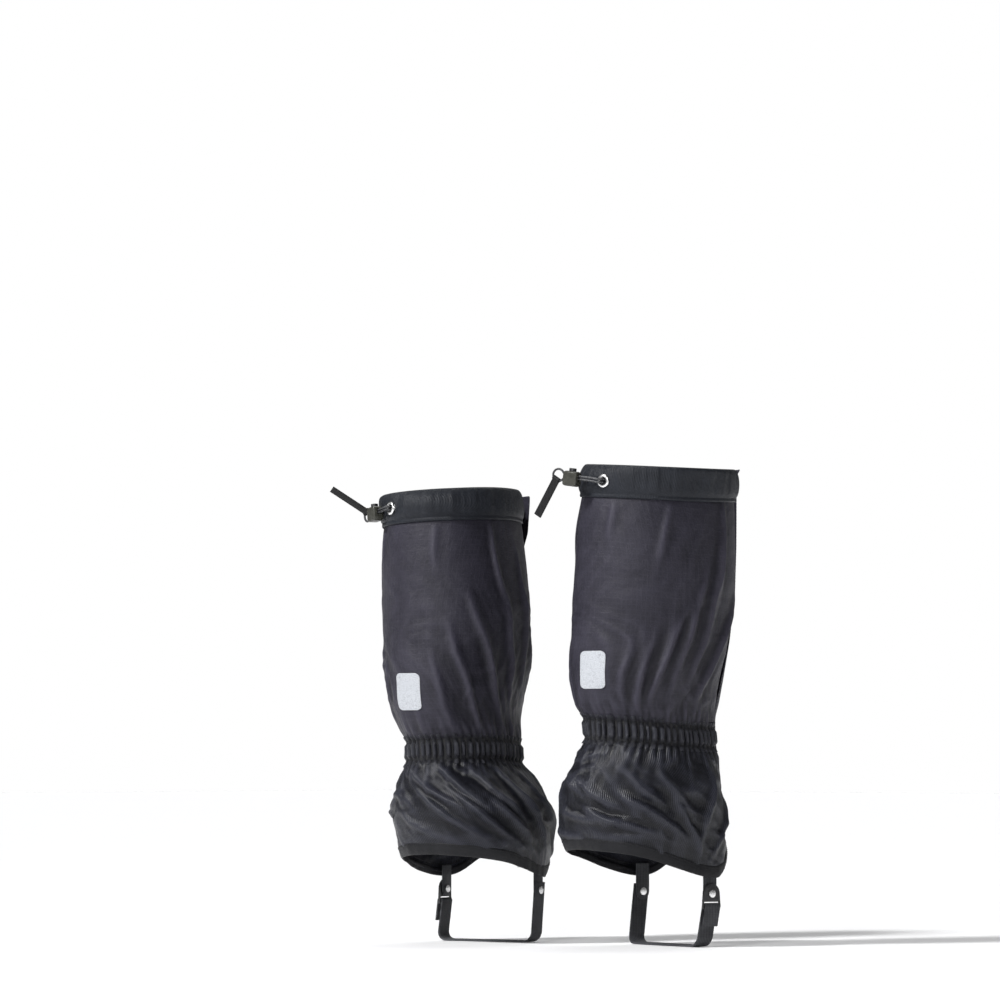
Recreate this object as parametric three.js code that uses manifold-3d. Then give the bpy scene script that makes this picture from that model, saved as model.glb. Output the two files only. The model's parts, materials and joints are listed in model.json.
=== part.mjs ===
// A pair of knee-high hiking gaiters, in the shape they take when worn: each is a calf tube and a boot
// skirt, with a drawcord cuff, a gathered ankle casing, a hook-and-loop front flap, a lace hook and an
// instep strap. Millimetres, +Z up. The wearer faces +Y, and the origin is on the ground between the legs.
// Each gaiter is built in its own frame: +X towards the outside of the leg, +Y towards the toes. The left
// one is then mirrored. Angles go round the leg from the front (0) by the outside (90) to the back (180).
import * as THREE from "three";
import { mergeVertices } from "three/addons/utils/BufferGeometryUtils.js";
import Module from "manifold-3d";

const wasm = await Module();
wasm.setup();

// ---- driving dimensions -------------------------------------------------------------------------
const GAP = 0.3; // space kept between two sewn layers
const FABRIC = 1.0; // thickness of a fabric panel
const PANEL_OUT = 1.3; // how far a panel's inner face stands off the leg
const EDGE_GAP = 0.5; // degrees left open on each side of a sewn edge in the front opening
const FACE = 4; // degrees round the front that one flat face of a layer covers
const BACK_FACE = 12; // and round the sides and back

// The form of the leg and boot under the fabric: height, centre (outwards, forwards), half width,
// half depth, and the exponent of the outline, where 2 is an ellipse and more is squarer.
const LEG_FORM = [
  [480, 15.6, 0, 61, 80, 2],
  [441, 14.5, 0, 61.5, 80, 2],
  [395, 12, -1, 66, 81.5, 2],
  [350, 9, -1.5, 68, 82, 2],
  [300, 7, -5, 62, 81.5, 2],
  [262, 5.5, -8, 53, 79, 2],
  [240, 3, -6, 49, 74.5, 2],
  [224, 0, -1, 47, 67, 2],
  [196, 0, 0, 48, 67, 2],
  [182, -3, -2, 57, 73, 2.1],
  [152, -10, -4, 71, 77, 2.2],
  [120, -12, -1, 69, 77, 2.4],
  [95, -12, 2, 65, 77, 2.6],
  [50, -6, 4, 57, 77, 3],
];

// Height of the bottom hem at angles from the front to the back: lowest where the instep strap pulls.
const HEM_LINE = [
  [0, 108],
  [25, 95],
  [40, 74],
  [54, 66],
  [90, 74],
  [135, 90],
  [180, 96],
];

const CUFF = { middle: 456, height: 32, wall: 0.8, thickness: 6.6, tiltOut: 0.075, tiltFront: 0 };
const ANKLE = { middle: 210, height: 27, wall: 0.8, thickness: 5.2, tiltOut: 0.07, tiltFront: 0.05 };
const ELASTIC = { height: 22, thickness: 1.4 };
const HEM = { height: 12, inner: 0.8, thickness: 2.4 };

const OPENING = { outer: 24, inner: -24 }; // the front opening's two sewn edges, as angles
const PLACKET = { edge: 5 }; // the placket runs from the inner sewn edge to this angle
const FLAP = { edge: -20, lift: 3.9, flatFrom: 12 };
const TAPE = { from: -16, to: 0, thickness: 0.8, endGap: 8, sewnGap: 0.45 };

// Heights at which every layer has a row of points, so that layers that lie on each other stay parallel.
const CALF_ROWS = [240, 262, 300, 350, 395];
const ANKLE_ROWS = [196, 224];
const SKIRT_ROWS = [128, 152, 182];
const CUFF_ROWS = [420, 442, (angle) => cuffTop(angle) - TAPE.endGap];
const FRONT_ROWS = [...SKIRT_ROWS, ...ANKLE_ROWS, ...CALF_ROWS, ...CUFF_ROWS];

const BADGE = { middle: 271, width: 32, height: 37, thickness: 0.5, corner: 0.14 };

const CUFF_BEND = 50; // the tightest radius that the cuff takes under the eyelet
const EYELET = { angle: 167, hole: 3.4, barrel: 4.0, flange: 6.7, rim: 1.2, washer: 0.5, sides: 16 };
const CORD = { radius: 1.2, sides: 8, inTunnel: 3.2, apart: 1.4, standOff: 5, step: 14 };
const LOCK = { length: 16, depth: 11, below: 9.2, above: 5.6, bore: 3.9, wall: 0.8, round: 3.2 };
const BUTTON = { radius: 3.6, proud: 3, foot: 4.6, travel: 1.8 };
const SPRING = { radius: 2.6, wire: 0.3, turns: 2.5 };
const TAB = { width: 8, length: 42, ply: 0.8, eye: 1.5, aim: 66 };
const LOOP = { start: 1.6, radius: 6.5, halfFlat: 50 }; // the straight stretch spans 2 x halfFlat degrees

const STRAP = { width: 18, thickness: 1.6, corner: 9, back: 8, anchorY: 38, tail: 20 };
const RIVET = { height: 52, shank: 1.8, hole: 2.1, head: 4, headHeight: 1.1 };
const ANCHOR = { radius: 8, thickness: 1.2, top: 80 };
const BUCKLE = { thickness: 2.6, bottom: 37, bar: 3.5, slot: 3.5, side: 0.5, flare: 1, turnBelow: 0.7 };

const HOOK = { angle: -3, wire: 0.85, shankWire: 0.7, shank: 9, throat: 2.6, tip: 5 };
const HOOK_RING = { width: 9, height: 6.5 };
const HOOK_TAB = { width: 6, ply: 0.8, lap: 12, hang: 7 };

const STANCE = { apart: 210, stagger: 47, toeOut: 11 };
// out is the side's direction away from the other leg. drop is how far the gaiter has slid down, and peel
// how far the flap's top corner stands off. The lock values place the cord lock on the cord. The pull tab
// hangs down or stands up in its loop, and tabLean is how many degrees it leans away from the cuff.
const SIDES = [
  {
    name: "right",
    out: 1,
    drop: 0,
    peel: 0,
    badgeAngle: 170,
    lockTowards: 1,
    lockAt: 33,
    lockTurn: 0,
    lockRise: 8,
    tabUp: -1,
    tabLean: 0,
  },
  {
    name: "left",
    out: -1,
    drop: 20,
    peel: 8,
    badgeAngle: 177,
    lockTowards: -1,
    lockAt: 24,
    lockTurn: 6,
    lockRise: -8,
    tabUp: 1,
    tabLean: 50,
  },
];

// ---- materials ----------------------------------------------------------------------------------
const finish = (color, roughness, metalness = 0) =>
  new THREE.MeshStandardMaterial({ color, roughness, metalness });
const MATERIAL = {
  ripstop: finish(0x3f3e45, 0.62),
  oxford: finish(0x2c2d32, 0.55),
  cuffCloth: finish(0x34373b, 0.6),
  binding: finish(0x1d1e21, 0.7),
  elastic: finish(0x18181a, 0.85),
  hookTape: finish(0x141416, 0.9),
  reflective: finish(0xc9ccd0, 0.4),
  cord: finish(0x26272a, 0.75),
  steel: finish(0xb9babb, 0.3, 1),
  plastic: finish(0x36372f, 0.45),
  webbing: finish(0x4b4c50, 0.7),
};

// ---- shape helpers ------------------------------------------------------------------------------
const radians = THREE.MathUtils.degToRad;
const ease = (x) => THREE.MathUtils.smoothstep(x, 0, 1);

// A smooth curve through rows of numbers, read at a value of their first column.
function through(rows, at) {
  const ordered = rows[0][0] < rows[rows.length - 1][0] ? rows : [...rows].reverse();
  const last = ordered.length - 1;
  const x = THREE.MathUtils.clamp(at, ordered[0][0], ordered[last][0]);
  const i = Math.min(last - 1, Math.max(0, ordered.findIndex((row) => row[0] > x) - 1));
  const k = x >= ordered[last][0] ? last - 1 : i;
  const [p0, p1, p2, p3] = [k - 1, k, k + 1, k + 2].map((n) => ordered[THREE.MathUtils.clamp(n, 0, last)]);
  const span = p2[0] - p1[0];
  const t = (x - p1[0]) / span;
  return p1.slice(1).map((value, column) => {
    const c = column + 1;
    const leave = p2 === p0 ? 0 : ((p2[c] - p0[c]) / (p2[0] - p0[0])) * span;
    const arrive = p3 === p1 ? 0 : ((p3[c] - p1[c]) / (p3[0] - p1[0])) * span;
    const a = 2 * p1[c] - 2 * p2[c] + leave + arrive;
    const b = 3 * (p2[c] - p1[c]) - 2 * leave - arrive;
    return ((a * t + b) * t + leave) * t + value;
  });
}

// The outline of the leg at one height and angle: the point, and the way out of the leg there.
function outline(angle, height) {
  const [cx, cy, halfWidth, halfDepth, power] = through(LEG_FORM, height);
  const s = Math.sin(radians(angle));
  const c = Math.cos(radians(angle));
  const r = ((Math.abs(s) / halfWidth) ** power + (Math.abs(c) / halfDepth) ** power) ** (-1 / power);
  const out = new THREE.Vector3(
    Math.sign(s) * Math.abs(r * s) ** (power - 1) / halfWidth ** power,
    Math.sign(c) * Math.abs(r * c) ** (power - 1) / halfDepth ** power,
    0,
  ).normalize();
  return { point: new THREE.Vector3(cx + r * s, cy + r * c, height), out };
}

// How low the whole gaiter sits on the leg: the drop fades out towards the instep strap.
const DROP_FROM = 50;
const DROP_TO = ANKLE_ROWS[0];
const worn = (side, height) =>
  height - side.drop * THREE.MathUtils.clamp((height - DROP_FROM) / (DROP_TO - DROP_FROM), 0, 1);

function onLeg(side, angle, height, offset) {
  const { point, out } = outline(angle, height);
  point.addScaledVector(out, offset);
  point.z = worn(side, height);
  return point;
}

// The height of a band's middle line at an angle, on a plane tilted outwards and forwards.
function bandHeight(band, angle) {
  const [, , halfWidth, halfDepth] = through(LEG_FORM, band.middle);
  const acrossLeg = Math.sin(radians(angle)) * halfWidth;
  const alongFoot = Math.cos(radians(angle)) * halfDepth;
  return band.middle - band.tiltOut * acrossLeg - band.tiltFront * alongFoot;
}
const cuffTop = (angle) => bandHeight(CUFF, angle) + CUFF.height / 2;
const cuffBottom = (angle) => bandHeight(CUFF, angle) - CUFF.height / 2;
const ankleTop = (angle) => bandHeight(ANKLE, angle) + ANKLE.height / 2;
const ankleBottom = (angle) => bandHeight(ANKLE, angle) - ANKLE.height / 2;
const hemHeight = (angle) => through(HEM_LINE, Math.abs(angle > 180 ? 360 - angle : angle))[0];

// Angles from one to another, with whole faces between them: fine round the front, wide elsewhere.
function anglesAcross(from, to) {
  const marks = [];
  for (let angle = -28; angle <= 28; angle += FACE) marks.push(angle);
  for (let angle = 41; angle <= 320; angle += BACK_FACE) marks.push(angle);
  marks.push(332);
  const inside = marks.filter((angle) => angle > from + 1 && angle < to - 1);
  return [from, ...inside, to];
}

// A box bent round the leg: a strip of fabric between two angles, two edges and two faces, with rows
// of points at the heights in between.
function bentStrip(side, { from, to, rows = [], bottom, top, inner, outer }) {
  const angles = anglesAcross(from, to);
  const [across, up] = [angles.length - 1, rows.length + 1];
  const box = new THREE.BoxGeometry(1, 1, 1, across, up, 1);
  const at = box.attributes.position;
  const read = (edge, ...place) => (typeof edge === "function" ? edge(...place) : edge);
  for (let i = 0; i < at.count; i++) {
    const angle = angles[Math.round((0.5 - at.getX(i)) * across)];
    const heights = [bottom, ...rows, top].map((edge) => read(edge, angle));
    const height = heights[Math.round((at.getY(i) + 0.5) * up)];
    const offset = at.getZ(i) > 0 ? read(outer, angle, height) : read(inner, angle, height);
    const p = onLeg(side, angle, height, offset);
    at.setXYZ(i, p.x, p.y, p.z);
  }
  return box;
}

const ROUND = { from: OPENING.outer + EDGE_GAP, to: 360 + OPENING.inner - EDGE_GAP };

function solid(geometry) {
  const bare = geometry.index ? geometry.toNonIndexed() : geometry.clone();
  bare.deleteAttribute("normal");
  bare.deleteAttribute("uv");
  const merged = mergeVertices(bare, 1e-4);
  const vertProperties = merged.attributes.position.array;
  const triVerts = new Uint32Array(merged.index.array);
  return new wasm.Manifold(new wasm.Mesh({ numProp: 3, vertProperties, triVerts }));
}

function geometryOf(made) {
  const { vertProperties, triVerts } = made.getMesh();
  const geometry = new THREE.BufferGeometry();
  geometry.setAttribute("position", new THREE.BufferAttribute(vertProperties, 3));
  geometry.setIndex(new THREE.BufferAttribute(triVerts, 1));
  geometry.computeVertexNormals();
  return geometry;
}

const cut = (geometry, ...tools) =>
  geometryOf(tools.reduce((left, tool) => left.subtract(solid(tool)), solid(geometry)));
const join = (...geometries) =>
  geometryOf(geometries.map(solid).reduce((whole, piece) => whole.add(piece)));

function named(side, name, geometry, material) {
  const mesh = new THREE.Mesh(geometry, material);
  mesh.name = `${side.name}_${name}`;
  return mesh;
}

// A cylinder from x = start to x = end, lying along X.
function extrude(shape, depth, curveSegments) {
  return new THREE.ExtrudeGeometry(shape, { depth, bevelEnabled: false, curveSegments });
}

function rod(radius, start, end, y, z, sides = 12) {
  return new THREE.CylinderGeometry(radius, radius, end - start, sides)
    .rotateZ(Math.PI / 2)
    .translate((start + end) / 2, y, z);
}

// A flat ribbon seen edge on: its middle line in a plane, given its thickness.
function ribbonShape(line, thickness) {
  const sideways = line.map((p, i) => {
    const before = line[Math.max(0, i - 1)];
    const after = line[Math.min(line.length - 1, i + 1)];
    const along = new THREE.Vector2().subVectors(after, before).normalize();
    return new THREE.Vector2(-along.y, along.x).multiplyScalar(thickness / 2);
  });
  const left = line.map((p, i) => p.clone().add(sideways[i]));
  const right = line.map((p, i) => p.clone().sub(sideways[i]));
  return new THREE.Shape([...left, ...right.reverse()]);
}

// A curve whose steps are spread evenly over its points, so close points get short steps.
class PointPath extends THREE.CatmullRomCurve3 {
  getPointAt(t, target) {
    return this.getPoint(t, target);
  }
  getTangentAt(t, target) {
    return this.getTangent(t, target);
  }
}

function wire(points, radius, sides, stepsEach, closed = false) {
  const section = new THREE.Shape();
  for (let i = 0; i < sides; i++) {
    const turn = (i / sides) * Math.PI * 2;
    const corner = [radius * Math.cos(turn), radius * Math.sin(turn)];
    if (i) section.lineTo(...corner);
    else section.moveTo(...corner);
  }
  const path = new PointPath(points, closed, "centripetal");
  const steps = Math.round((points.length - 1) * stepsEach);
  return new THREE.ExtrudeGeometry(section, { steps, extrudePath: path, bevelEnabled: false });
}

// ---- fabric body --------------------------------------------------------------------------------
// A band that is folded into a tunnel, open at its two ends in the front opening.
function tunnelBand(side, band, bottom, top) {
  const body = { ...ROUND, bottom, top, inner: 0, outer: band.thickness };
  const channel = {
    ...body,
    from: ROUND.from - 1,
    to: ROUND.to + 1,
    bottom: (angle) => bottom(angle) + band.wall,
    top: (angle) => top(angle) - band.wall,
    inner: band.wall,
    outer: band.thickness - band.wall,
  };
  return [bentStrip(side, body), bentStrip(side, channel)];
}

function panels(side) {
  const panel = { ...ROUND, inner: PANEL_OUT, outer: PANEL_OUT + FABRIC };
  const calf = { ...panel, rows: CALF_ROWS, bottom: (a) => ankleTop(a) + GAP };
  calf.top = (a) => cuffBottom(a) - GAP;
  const skirt = { ...panel, rows: SKIRT_ROWS, bottom: (a) => hemHeight(a) + HEM.height + 2 * GAP };
  skirt.top = (a) => ankleBottom(a) - GAP;
  const hem = { ...ROUND, bottom: hemHeight, top: (a) => hemHeight(a) + HEM.height };
  hem.inner = HEM.inner;
  hem.outer = HEM.inner + HEM.thickness;
  return [
    named(side, "calf_panel", bentStrip(side, calf), MATERIAL.ripstop),
    named(side, "boot_skirt", bentStrip(side, skirt), MATERIAL.oxford),
    named(side, "hem_band", bentStrip(side, hem), MATERIAL.binding),
  ];
}

function ankleGather(side) {
  const [body, channel] = tunnelBand(side, ANKLE, ankleBottom, ankleTop);
  const middle = ANKLE.thickness / 2;
  const elastic = {
    ...ROUND,
    bottom: (a) => bandHeight(ANKLE, a) - ELASTIC.height / 2,
    top: (a) => bandHeight(ANKLE, a) + ELASTIC.height / 2,
    inner: middle - ELASTIC.thickness / 2,
    outer: middle + ELASTIC.thickness / 2,
  };
  return [
    named(side, "ankle_casing", cut(body, channel), MATERIAL.oxford),
    named(side, "ankle_elastic", bentStrip(side, elastic), MATERIAL.elastic),
  ];
}

// ---- front closure ------------------------------------------------------------------------------
// The flap lies close at its sewn edge, stands clear of the two tapes, and may peel away at its top.
function flapOffset(side, angle, height) {
  const clear = ease((OPENING.outer - angle) / (OPENING.outer - FLAP.flatFrom));
  const loose = ease((FLAP.flatFrom - angle) / (FLAP.flatFrom - FLAP.edge));
  const nearTop = ease((height - cuffTop(angle) + 75) / 75);
  return PANEL_OUT + FLAP.lift * clear + side.peel * loose * nearTop;
}

function closure(side) {
  const full = { rows: FRONT_ROWS, bottom: hemHeight, top: cuffTop };
  const taped = {
    from: TAPE.from,
    to: TAPE.to,
    rows: FRONT_ROWS.slice(0, -1),
    bottom: (a) => hemHeight(a) + TAPE.endGap,
    top: (a) => cuffTop(a) - TAPE.endGap,
  };
  const placket = { ...full, from: OPENING.inner + EDGE_GAP, to: PLACKET.edge };
  placket.inner = PANEL_OUT;
  placket.outer = PANEL_OUT + FABRIC;
  const loopTape = { ...taped, inner: placket.outer + GAP, outer: placket.outer + GAP + TAPE.thickness };
  const flap = { ...full, from: FLAP.edge, to: OPENING.outer - EDGE_GAP };
  flap.inner = (a, h) => flapOffset(side, a, h);
  flap.outer = (a, h) => flapOffset(side, a, h) + FABRIC;
  const hookTape = { ...taped };
  hookTape.inner = (a, h) => flapOffset(side, a, h) - TAPE.sewnGap - TAPE.thickness;
  hookTape.outer = (a, h) => flapOffset(side, a, h) - TAPE.sewnGap;
  return {
    fixed: [
      named(side, "placket", bentStrip(side, placket), MATERIAL.oxford),
      named(side, "loop_tape", bentStrip(side, loopTape), MATERIAL.elastic),
    ],
    moving: [
      named(side, "front_flap", bentStrip(side, flap), MATERIAL.ripstop),
      named(side, "hook_tape", bentStrip(side, hookTape), MATERIAL.hookTape),
    ],
  };
}

function badge(side) {
  const { point } = outline(side.badgeAngle, BADGE.middle);
  const halfTurn = THREE.MathUtils.radToDeg(BADGE.width / 2 / Math.hypot(point.x, point.y));
  const inner = PANEL_OUT + FABRIC + GAP;
  const box = new THREE.BoxGeometry(1, 1, 1, 6, 6, 1);
  const at = box.attributes.position;
  for (let i = 0; i < at.count; i++) {
    const [u, v] = [at.getX(i) * 2, at.getY(i) * 2];
    const across = u * (1 - BADGE.corner * v ** 8);
    const up = v * (1 - BADGE.corner * u ** 8);
    const offset = inner + (at.getZ(i) > 0 ? BADGE.thickness : 0);
    const height = BADGE.middle + (up * BADGE.height) / 2;
    const p = onLeg(side, side.badgeAngle - across * halfTurn, height, offset);
    at.setXYZ(i, p.x, p.y, p.z);
  }
  return named(side, "reflective_badge", box, MATERIAL.reflective);
}

// ---- drawcord, eyelet and cord lock --------------------------------------------------------------
// The eyelet's own frame: X along the cuff towards the inside of the leg, Y out of the cuff, Z up.
function eyeletFrame(side) {
  const height = bandHeight(CUFF, EYELET.angle);
  const { out } = outline(EYELET.angle, height);
  const up = new THREE.Vector3(0, 0, 1);
  const frame = new THREE.Matrix4().makeBasis(new THREE.Vector3().crossVectors(out, up), out, up);
  return frame.setPosition(onLeg(side, EYELET.angle, height, CUFF.thickness));
}

// The cord outside the eyelet runs along X of a second frame, turned towards the leg and upwards.
function cordFrame(side, frame) {
  const turn = new THREE.Matrix4().makeRotationZ(-side.lockTowards * radians(side.lockTurn));
  const rise = new THREE.Matrix4().makeRotationY(-side.lockTowards * radians(side.lockRise));
  const base = new THREE.Matrix4().makeTranslation(0, CORD.standOff, 0);
  return frame.clone().multiply(base).multiply(turn).multiply(rise);
}

function lathe(profile, sides) {
  const points = profile.map(([r, y]) => new THREE.Vector2(r, y));
  return new THREE.LatheGeometry([...points, points[0].clone()], sides);
}

function cuffAndEyelet(side, frame) {
  const [body, channel] = tunnelBand(side, CUFF, cuffBottom, cuffTop);
  const wallHole = EYELET.barrel + GAP;
  const hole = new THREE.CylinderGeometry(wallHole, wallHole, 3, EYELET.sides).applyMatrix4(frame);
  const seat = GAP;
  const insideWall = -CUFF.wall - GAP;
  const sag = EYELET.flange ** 2 / 2 / CUFF_BEND; // the cuff curves away from the flat washer by this much
  const washerTop = insideWall - sag;
  const eyelet = lathe(
    [
      [EYELET.hole, washerTop - EYELET.washer],
      [EYELET.barrel, washerTop - EYELET.washer],
      [EYELET.barrel, seat],
      [EYELET.flange, seat],
      [EYELET.flange, seat + EYELET.rim / 3],
      [(EYELET.flange + EYELET.barrel) / 2, seat + EYELET.rim],
      [EYELET.barrel, seat + EYELET.rim],
      [EYELET.hole, seat + EYELET.rim / 2],
    ],
    EYELET.sides,
  );
  const washer = lathe(
    [
      [EYELET.barrel + GAP, washerTop - EYELET.washer],
      [EYELET.flange, washerTop - EYELET.washer],
      [EYELET.flange, washerTop],
      [EYELET.barrel + GAP, washerTop],
    ],
    EYELET.sides,
  );
  return [
    named(side, "top_cuff", cut(body, channel, hole), MATERIAL.cuffCloth),
    named(side, "eyelet", eyelet.applyMatrix4(frame), MATERIAL.steel),
    named(side, "eyelet_washer", washer.applyMatrix4(frame), MATERIAL.steel),
  ];
}

// Points of the loop beyond the cord lock, in the cord's frame. It is a circle with one straight
// stretch, which the pull tab hangs on: on its lower side, or on its upper side if tabUp is 1.
const loopCentre = (side) => side.lockAt + LOCK.length / 2 + LOOP.start + LOOP.radius;

function loopPoints(side) {
  const onCircle = (angle) => {
    const turn = radians(angle);
    return [loopCentre(side) + LOOP.radius * Math.cos(turn), -side.tabUp * LOOP.radius * Math.sin(turn)];
  };
  const seat = tabSeat(side);
  const points = [
    ...[-150, -TAB.aim - LOOP.halfFlat].map(onCircle),
    [seat.x, seat.z],
    ...[LOOP.halfFlat - TAB.aim, 20, 55, 90, 125, 150].map(onCircle),
  ];
  return side.tabUp < 0 ? points : points.reverse();
}

function tabSeat(side) {
  const reach = LOOP.radius * Math.cos(radians(LOOP.halfFlat));
  const aim = radians(TAB.aim);
  return { x: loopCentre(side) + reach * Math.cos(aim), z: side.tabUp * reach * Math.sin(aim) };
}

function drawcord(side, frame) {
  const inFrame = (x, y, z) => new THREE.Vector3(side.lockTowards * x, y, z).applyMatrix4(frame);
  const line = cordFrame(side, frame);
  const onLine = (x, z) => new THREE.Vector3(side.lockTowards * x, 0, z).applyMatrix4(line);
  const low = CUFF.wall + CORD.radius + 2 * GAP - CUFF.thickness; // where the cord dips under the washer
  const arc = (from, to, lift) => {
    const count = Math.round(Math.abs(to - from) / CORD.step);
    return Array.from({ length: count + 1 }, (_, i) => {
      const angle = THREE.MathUtils.lerp(from, to, i / count);
      const point = onLeg(side, angle, bandHeight(CUFF, angle), CORD.inTunnel);
      point.z += lift;
      return point;
    });
  };
  const bend = 9; // the cord leaves its arc this many degrees before the eyelet
  const rise = (lift, inward) => [
    inFrame(inward * 6.5, low, lift),
    inFrame(inward * 3, low + 0.3, lift),
    inFrame(inward * 0.5, low + 2.2, lift),
  ];
  const outside = (lift) => [
    inFrame(0, 0.6, lift),
    inFrame(0.7, CORD.standOff - 1.9, lift),
    inFrame(3.2, CORD.standOff - 0.3, lift),
    onLine(8, lift),
    onLine(side.lockAt - LOCK.length / 2, lift),
    onLine(side.lockAt + LOCK.length / 2 + GAP, lift),
  ];
  // The lower strand comes round the inside of the leg and the upper one round the outside.
  const inward = side.lockTowards;
  const points = [
    ...arc(360 + OPENING.inner - 4, EYELET.angle + bend, -CORD.apart),
    ...rise(-CORD.apart, inward),
    ...outside(-CORD.apart),
    ...loopPoints(side).map(([x, z]) => onLine(x, z)),
    ...outside(CORD.apart).reverse(),
    ...rise(CORD.apart, -inward).reverse(),
    ...arc(EYELET.angle - bend, OPENING.outer + 4, CORD.apart),
  ];
  return named(side, "drawcord", wire(points, CORD.radius, CORD.sides, 1), MATERIAL.cord);
}

// The cord lock, in the eyelet's frame moved along the cord: a barrel with an upright bore, a sprung
// button in it, and a slot through both that the two strands pass.
function cordLock(side) {
  const clear = CORD.radius + GAP;
  const strands = CORD.apart + clear;
  const profile = new THREE.Shape();
  const [low, high] = [-LOCK.below, LOCK.above];
  roundedBox(profile, LOCK.length / 2, high, low, LOCK.round);
  const bevel = 2.2;
  const shell = new THREE.ExtrudeGeometry(profile, {
    depth: LOCK.depth - 2 * bevel,
    bevelThickness: bevel,
    bevelSize: 1.2,
    bevelOffset: -1.2,
    bevelSegments: 2,
    curveSegments: 3,
  })
    .rotateX(Math.PI / 2)
    .translate(0, LOCK.depth / 2 - bevel, 0);
  const floor = low + LOCK.wall;
  const bore = new THREE.CylinderGeometry(LOCK.bore, LOCK.bore, high + 1 - floor, 20)
    .rotateX(Math.PI / 2)
    .translate(0, 0, (high + 1 + floor) / 2);
  const slot = new THREE.BoxGeometry(LOCK.length + 2, 2 * clear, 2 * strands);
  const tip = high + BUTTON.proud;
  const button = new THREE.CylinderGeometry(BUTTON.radius, BUTTON.radius, tip + BUTTON.foot, 20)
    .rotateX(Math.PI / 2)
    .translate(0, 0, (tip - BUTTON.foot) / 2);
  const passage = new THREE.BoxGeometry(3 * BUTTON.radius, 2 * clear, 2 * strands + BUTTON.travel);
  passage.translate(0, 0, BUTTON.travel / 2);
  const length = -BUTTON.foot - floor - 2 * GAP - 2 * SPRING.wire;
  const perTurn = 9;
  const coil = Array.from({ length: SPRING.turns * perTurn + 1 }, (_, i) => {
    const turn = (i / perTurn) * Math.PI * 2;
    const height = floor + GAP + SPRING.wire + (length * i) / (SPRING.turns * perTurn);
    return new THREE.Vector3(SPRING.radius * Math.cos(turn), SPRING.radius * Math.sin(turn), height);
  });
  return {
    body: named(side, "lock_body", cut(shell, bore, slot), MATERIAL.plastic),
    button: named(side, "lock_button", cut(button, passage), MATERIAL.plastic),
    spring: named(side, "lock_spring", wire(coil, SPRING.wire, 5, 1), MATERIAL.steel),
  };
}

// The pull tab: a ribbon folded round the cord, with its two plies sewn together below.
function pullTab(side) {
  const outerRadius = TAB.eye + TAB.ply;
  const shape = new THREE.Shape();
  const waist = Math.acos(TAB.ply / outerRadius);
  shape.absarc(0, 0, outerRadius, -waist, Math.PI + waist, false);
  shape.lineTo(-TAB.ply, -TAB.length);
  shape.lineTo(TAB.ply, -TAB.length);
  const eye = new THREE.Path();
  eye.absarc(0, 0, TAB.eye, 0, 2 * Math.PI, true);
  shape.holes.push(eye);
  const ribbon = extrude(shape, TAB.width, 7);
  ribbon.translate(0, 0, -TAB.width / 2).rotateZ(radians(side.tabLean));
  return named(side, "pull_tab", ribbon, MATERIAL.binding);
}

// ---- instep strap -------------------------------------------------------------------------------
// How far out a flat tab at the strap's place can stand without touching the hem band behind it.
function anchorX(inward) {
  const clear = [-ANCHOR.radius, 0, ANCHOR.radius].map((along) => {
    const y = STRAP.anchorY + along;
    let [low, high] = [5, 100];
    for (let i = 0; i < 30; i++) {
      const middle = (low + high) / 2;
      const at = onLeg(SIDES[0], inward * middle, hemHeight(middle), HEM.inner);
      if (at.y > y) low = middle;
      else high = middle;
    }
    return Math.abs(onLeg(SIDES[0], inward * low, hemHeight(low), HEM.inner).x);
  });
  return Math.min(...clear) - 2 * GAP;
}

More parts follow.
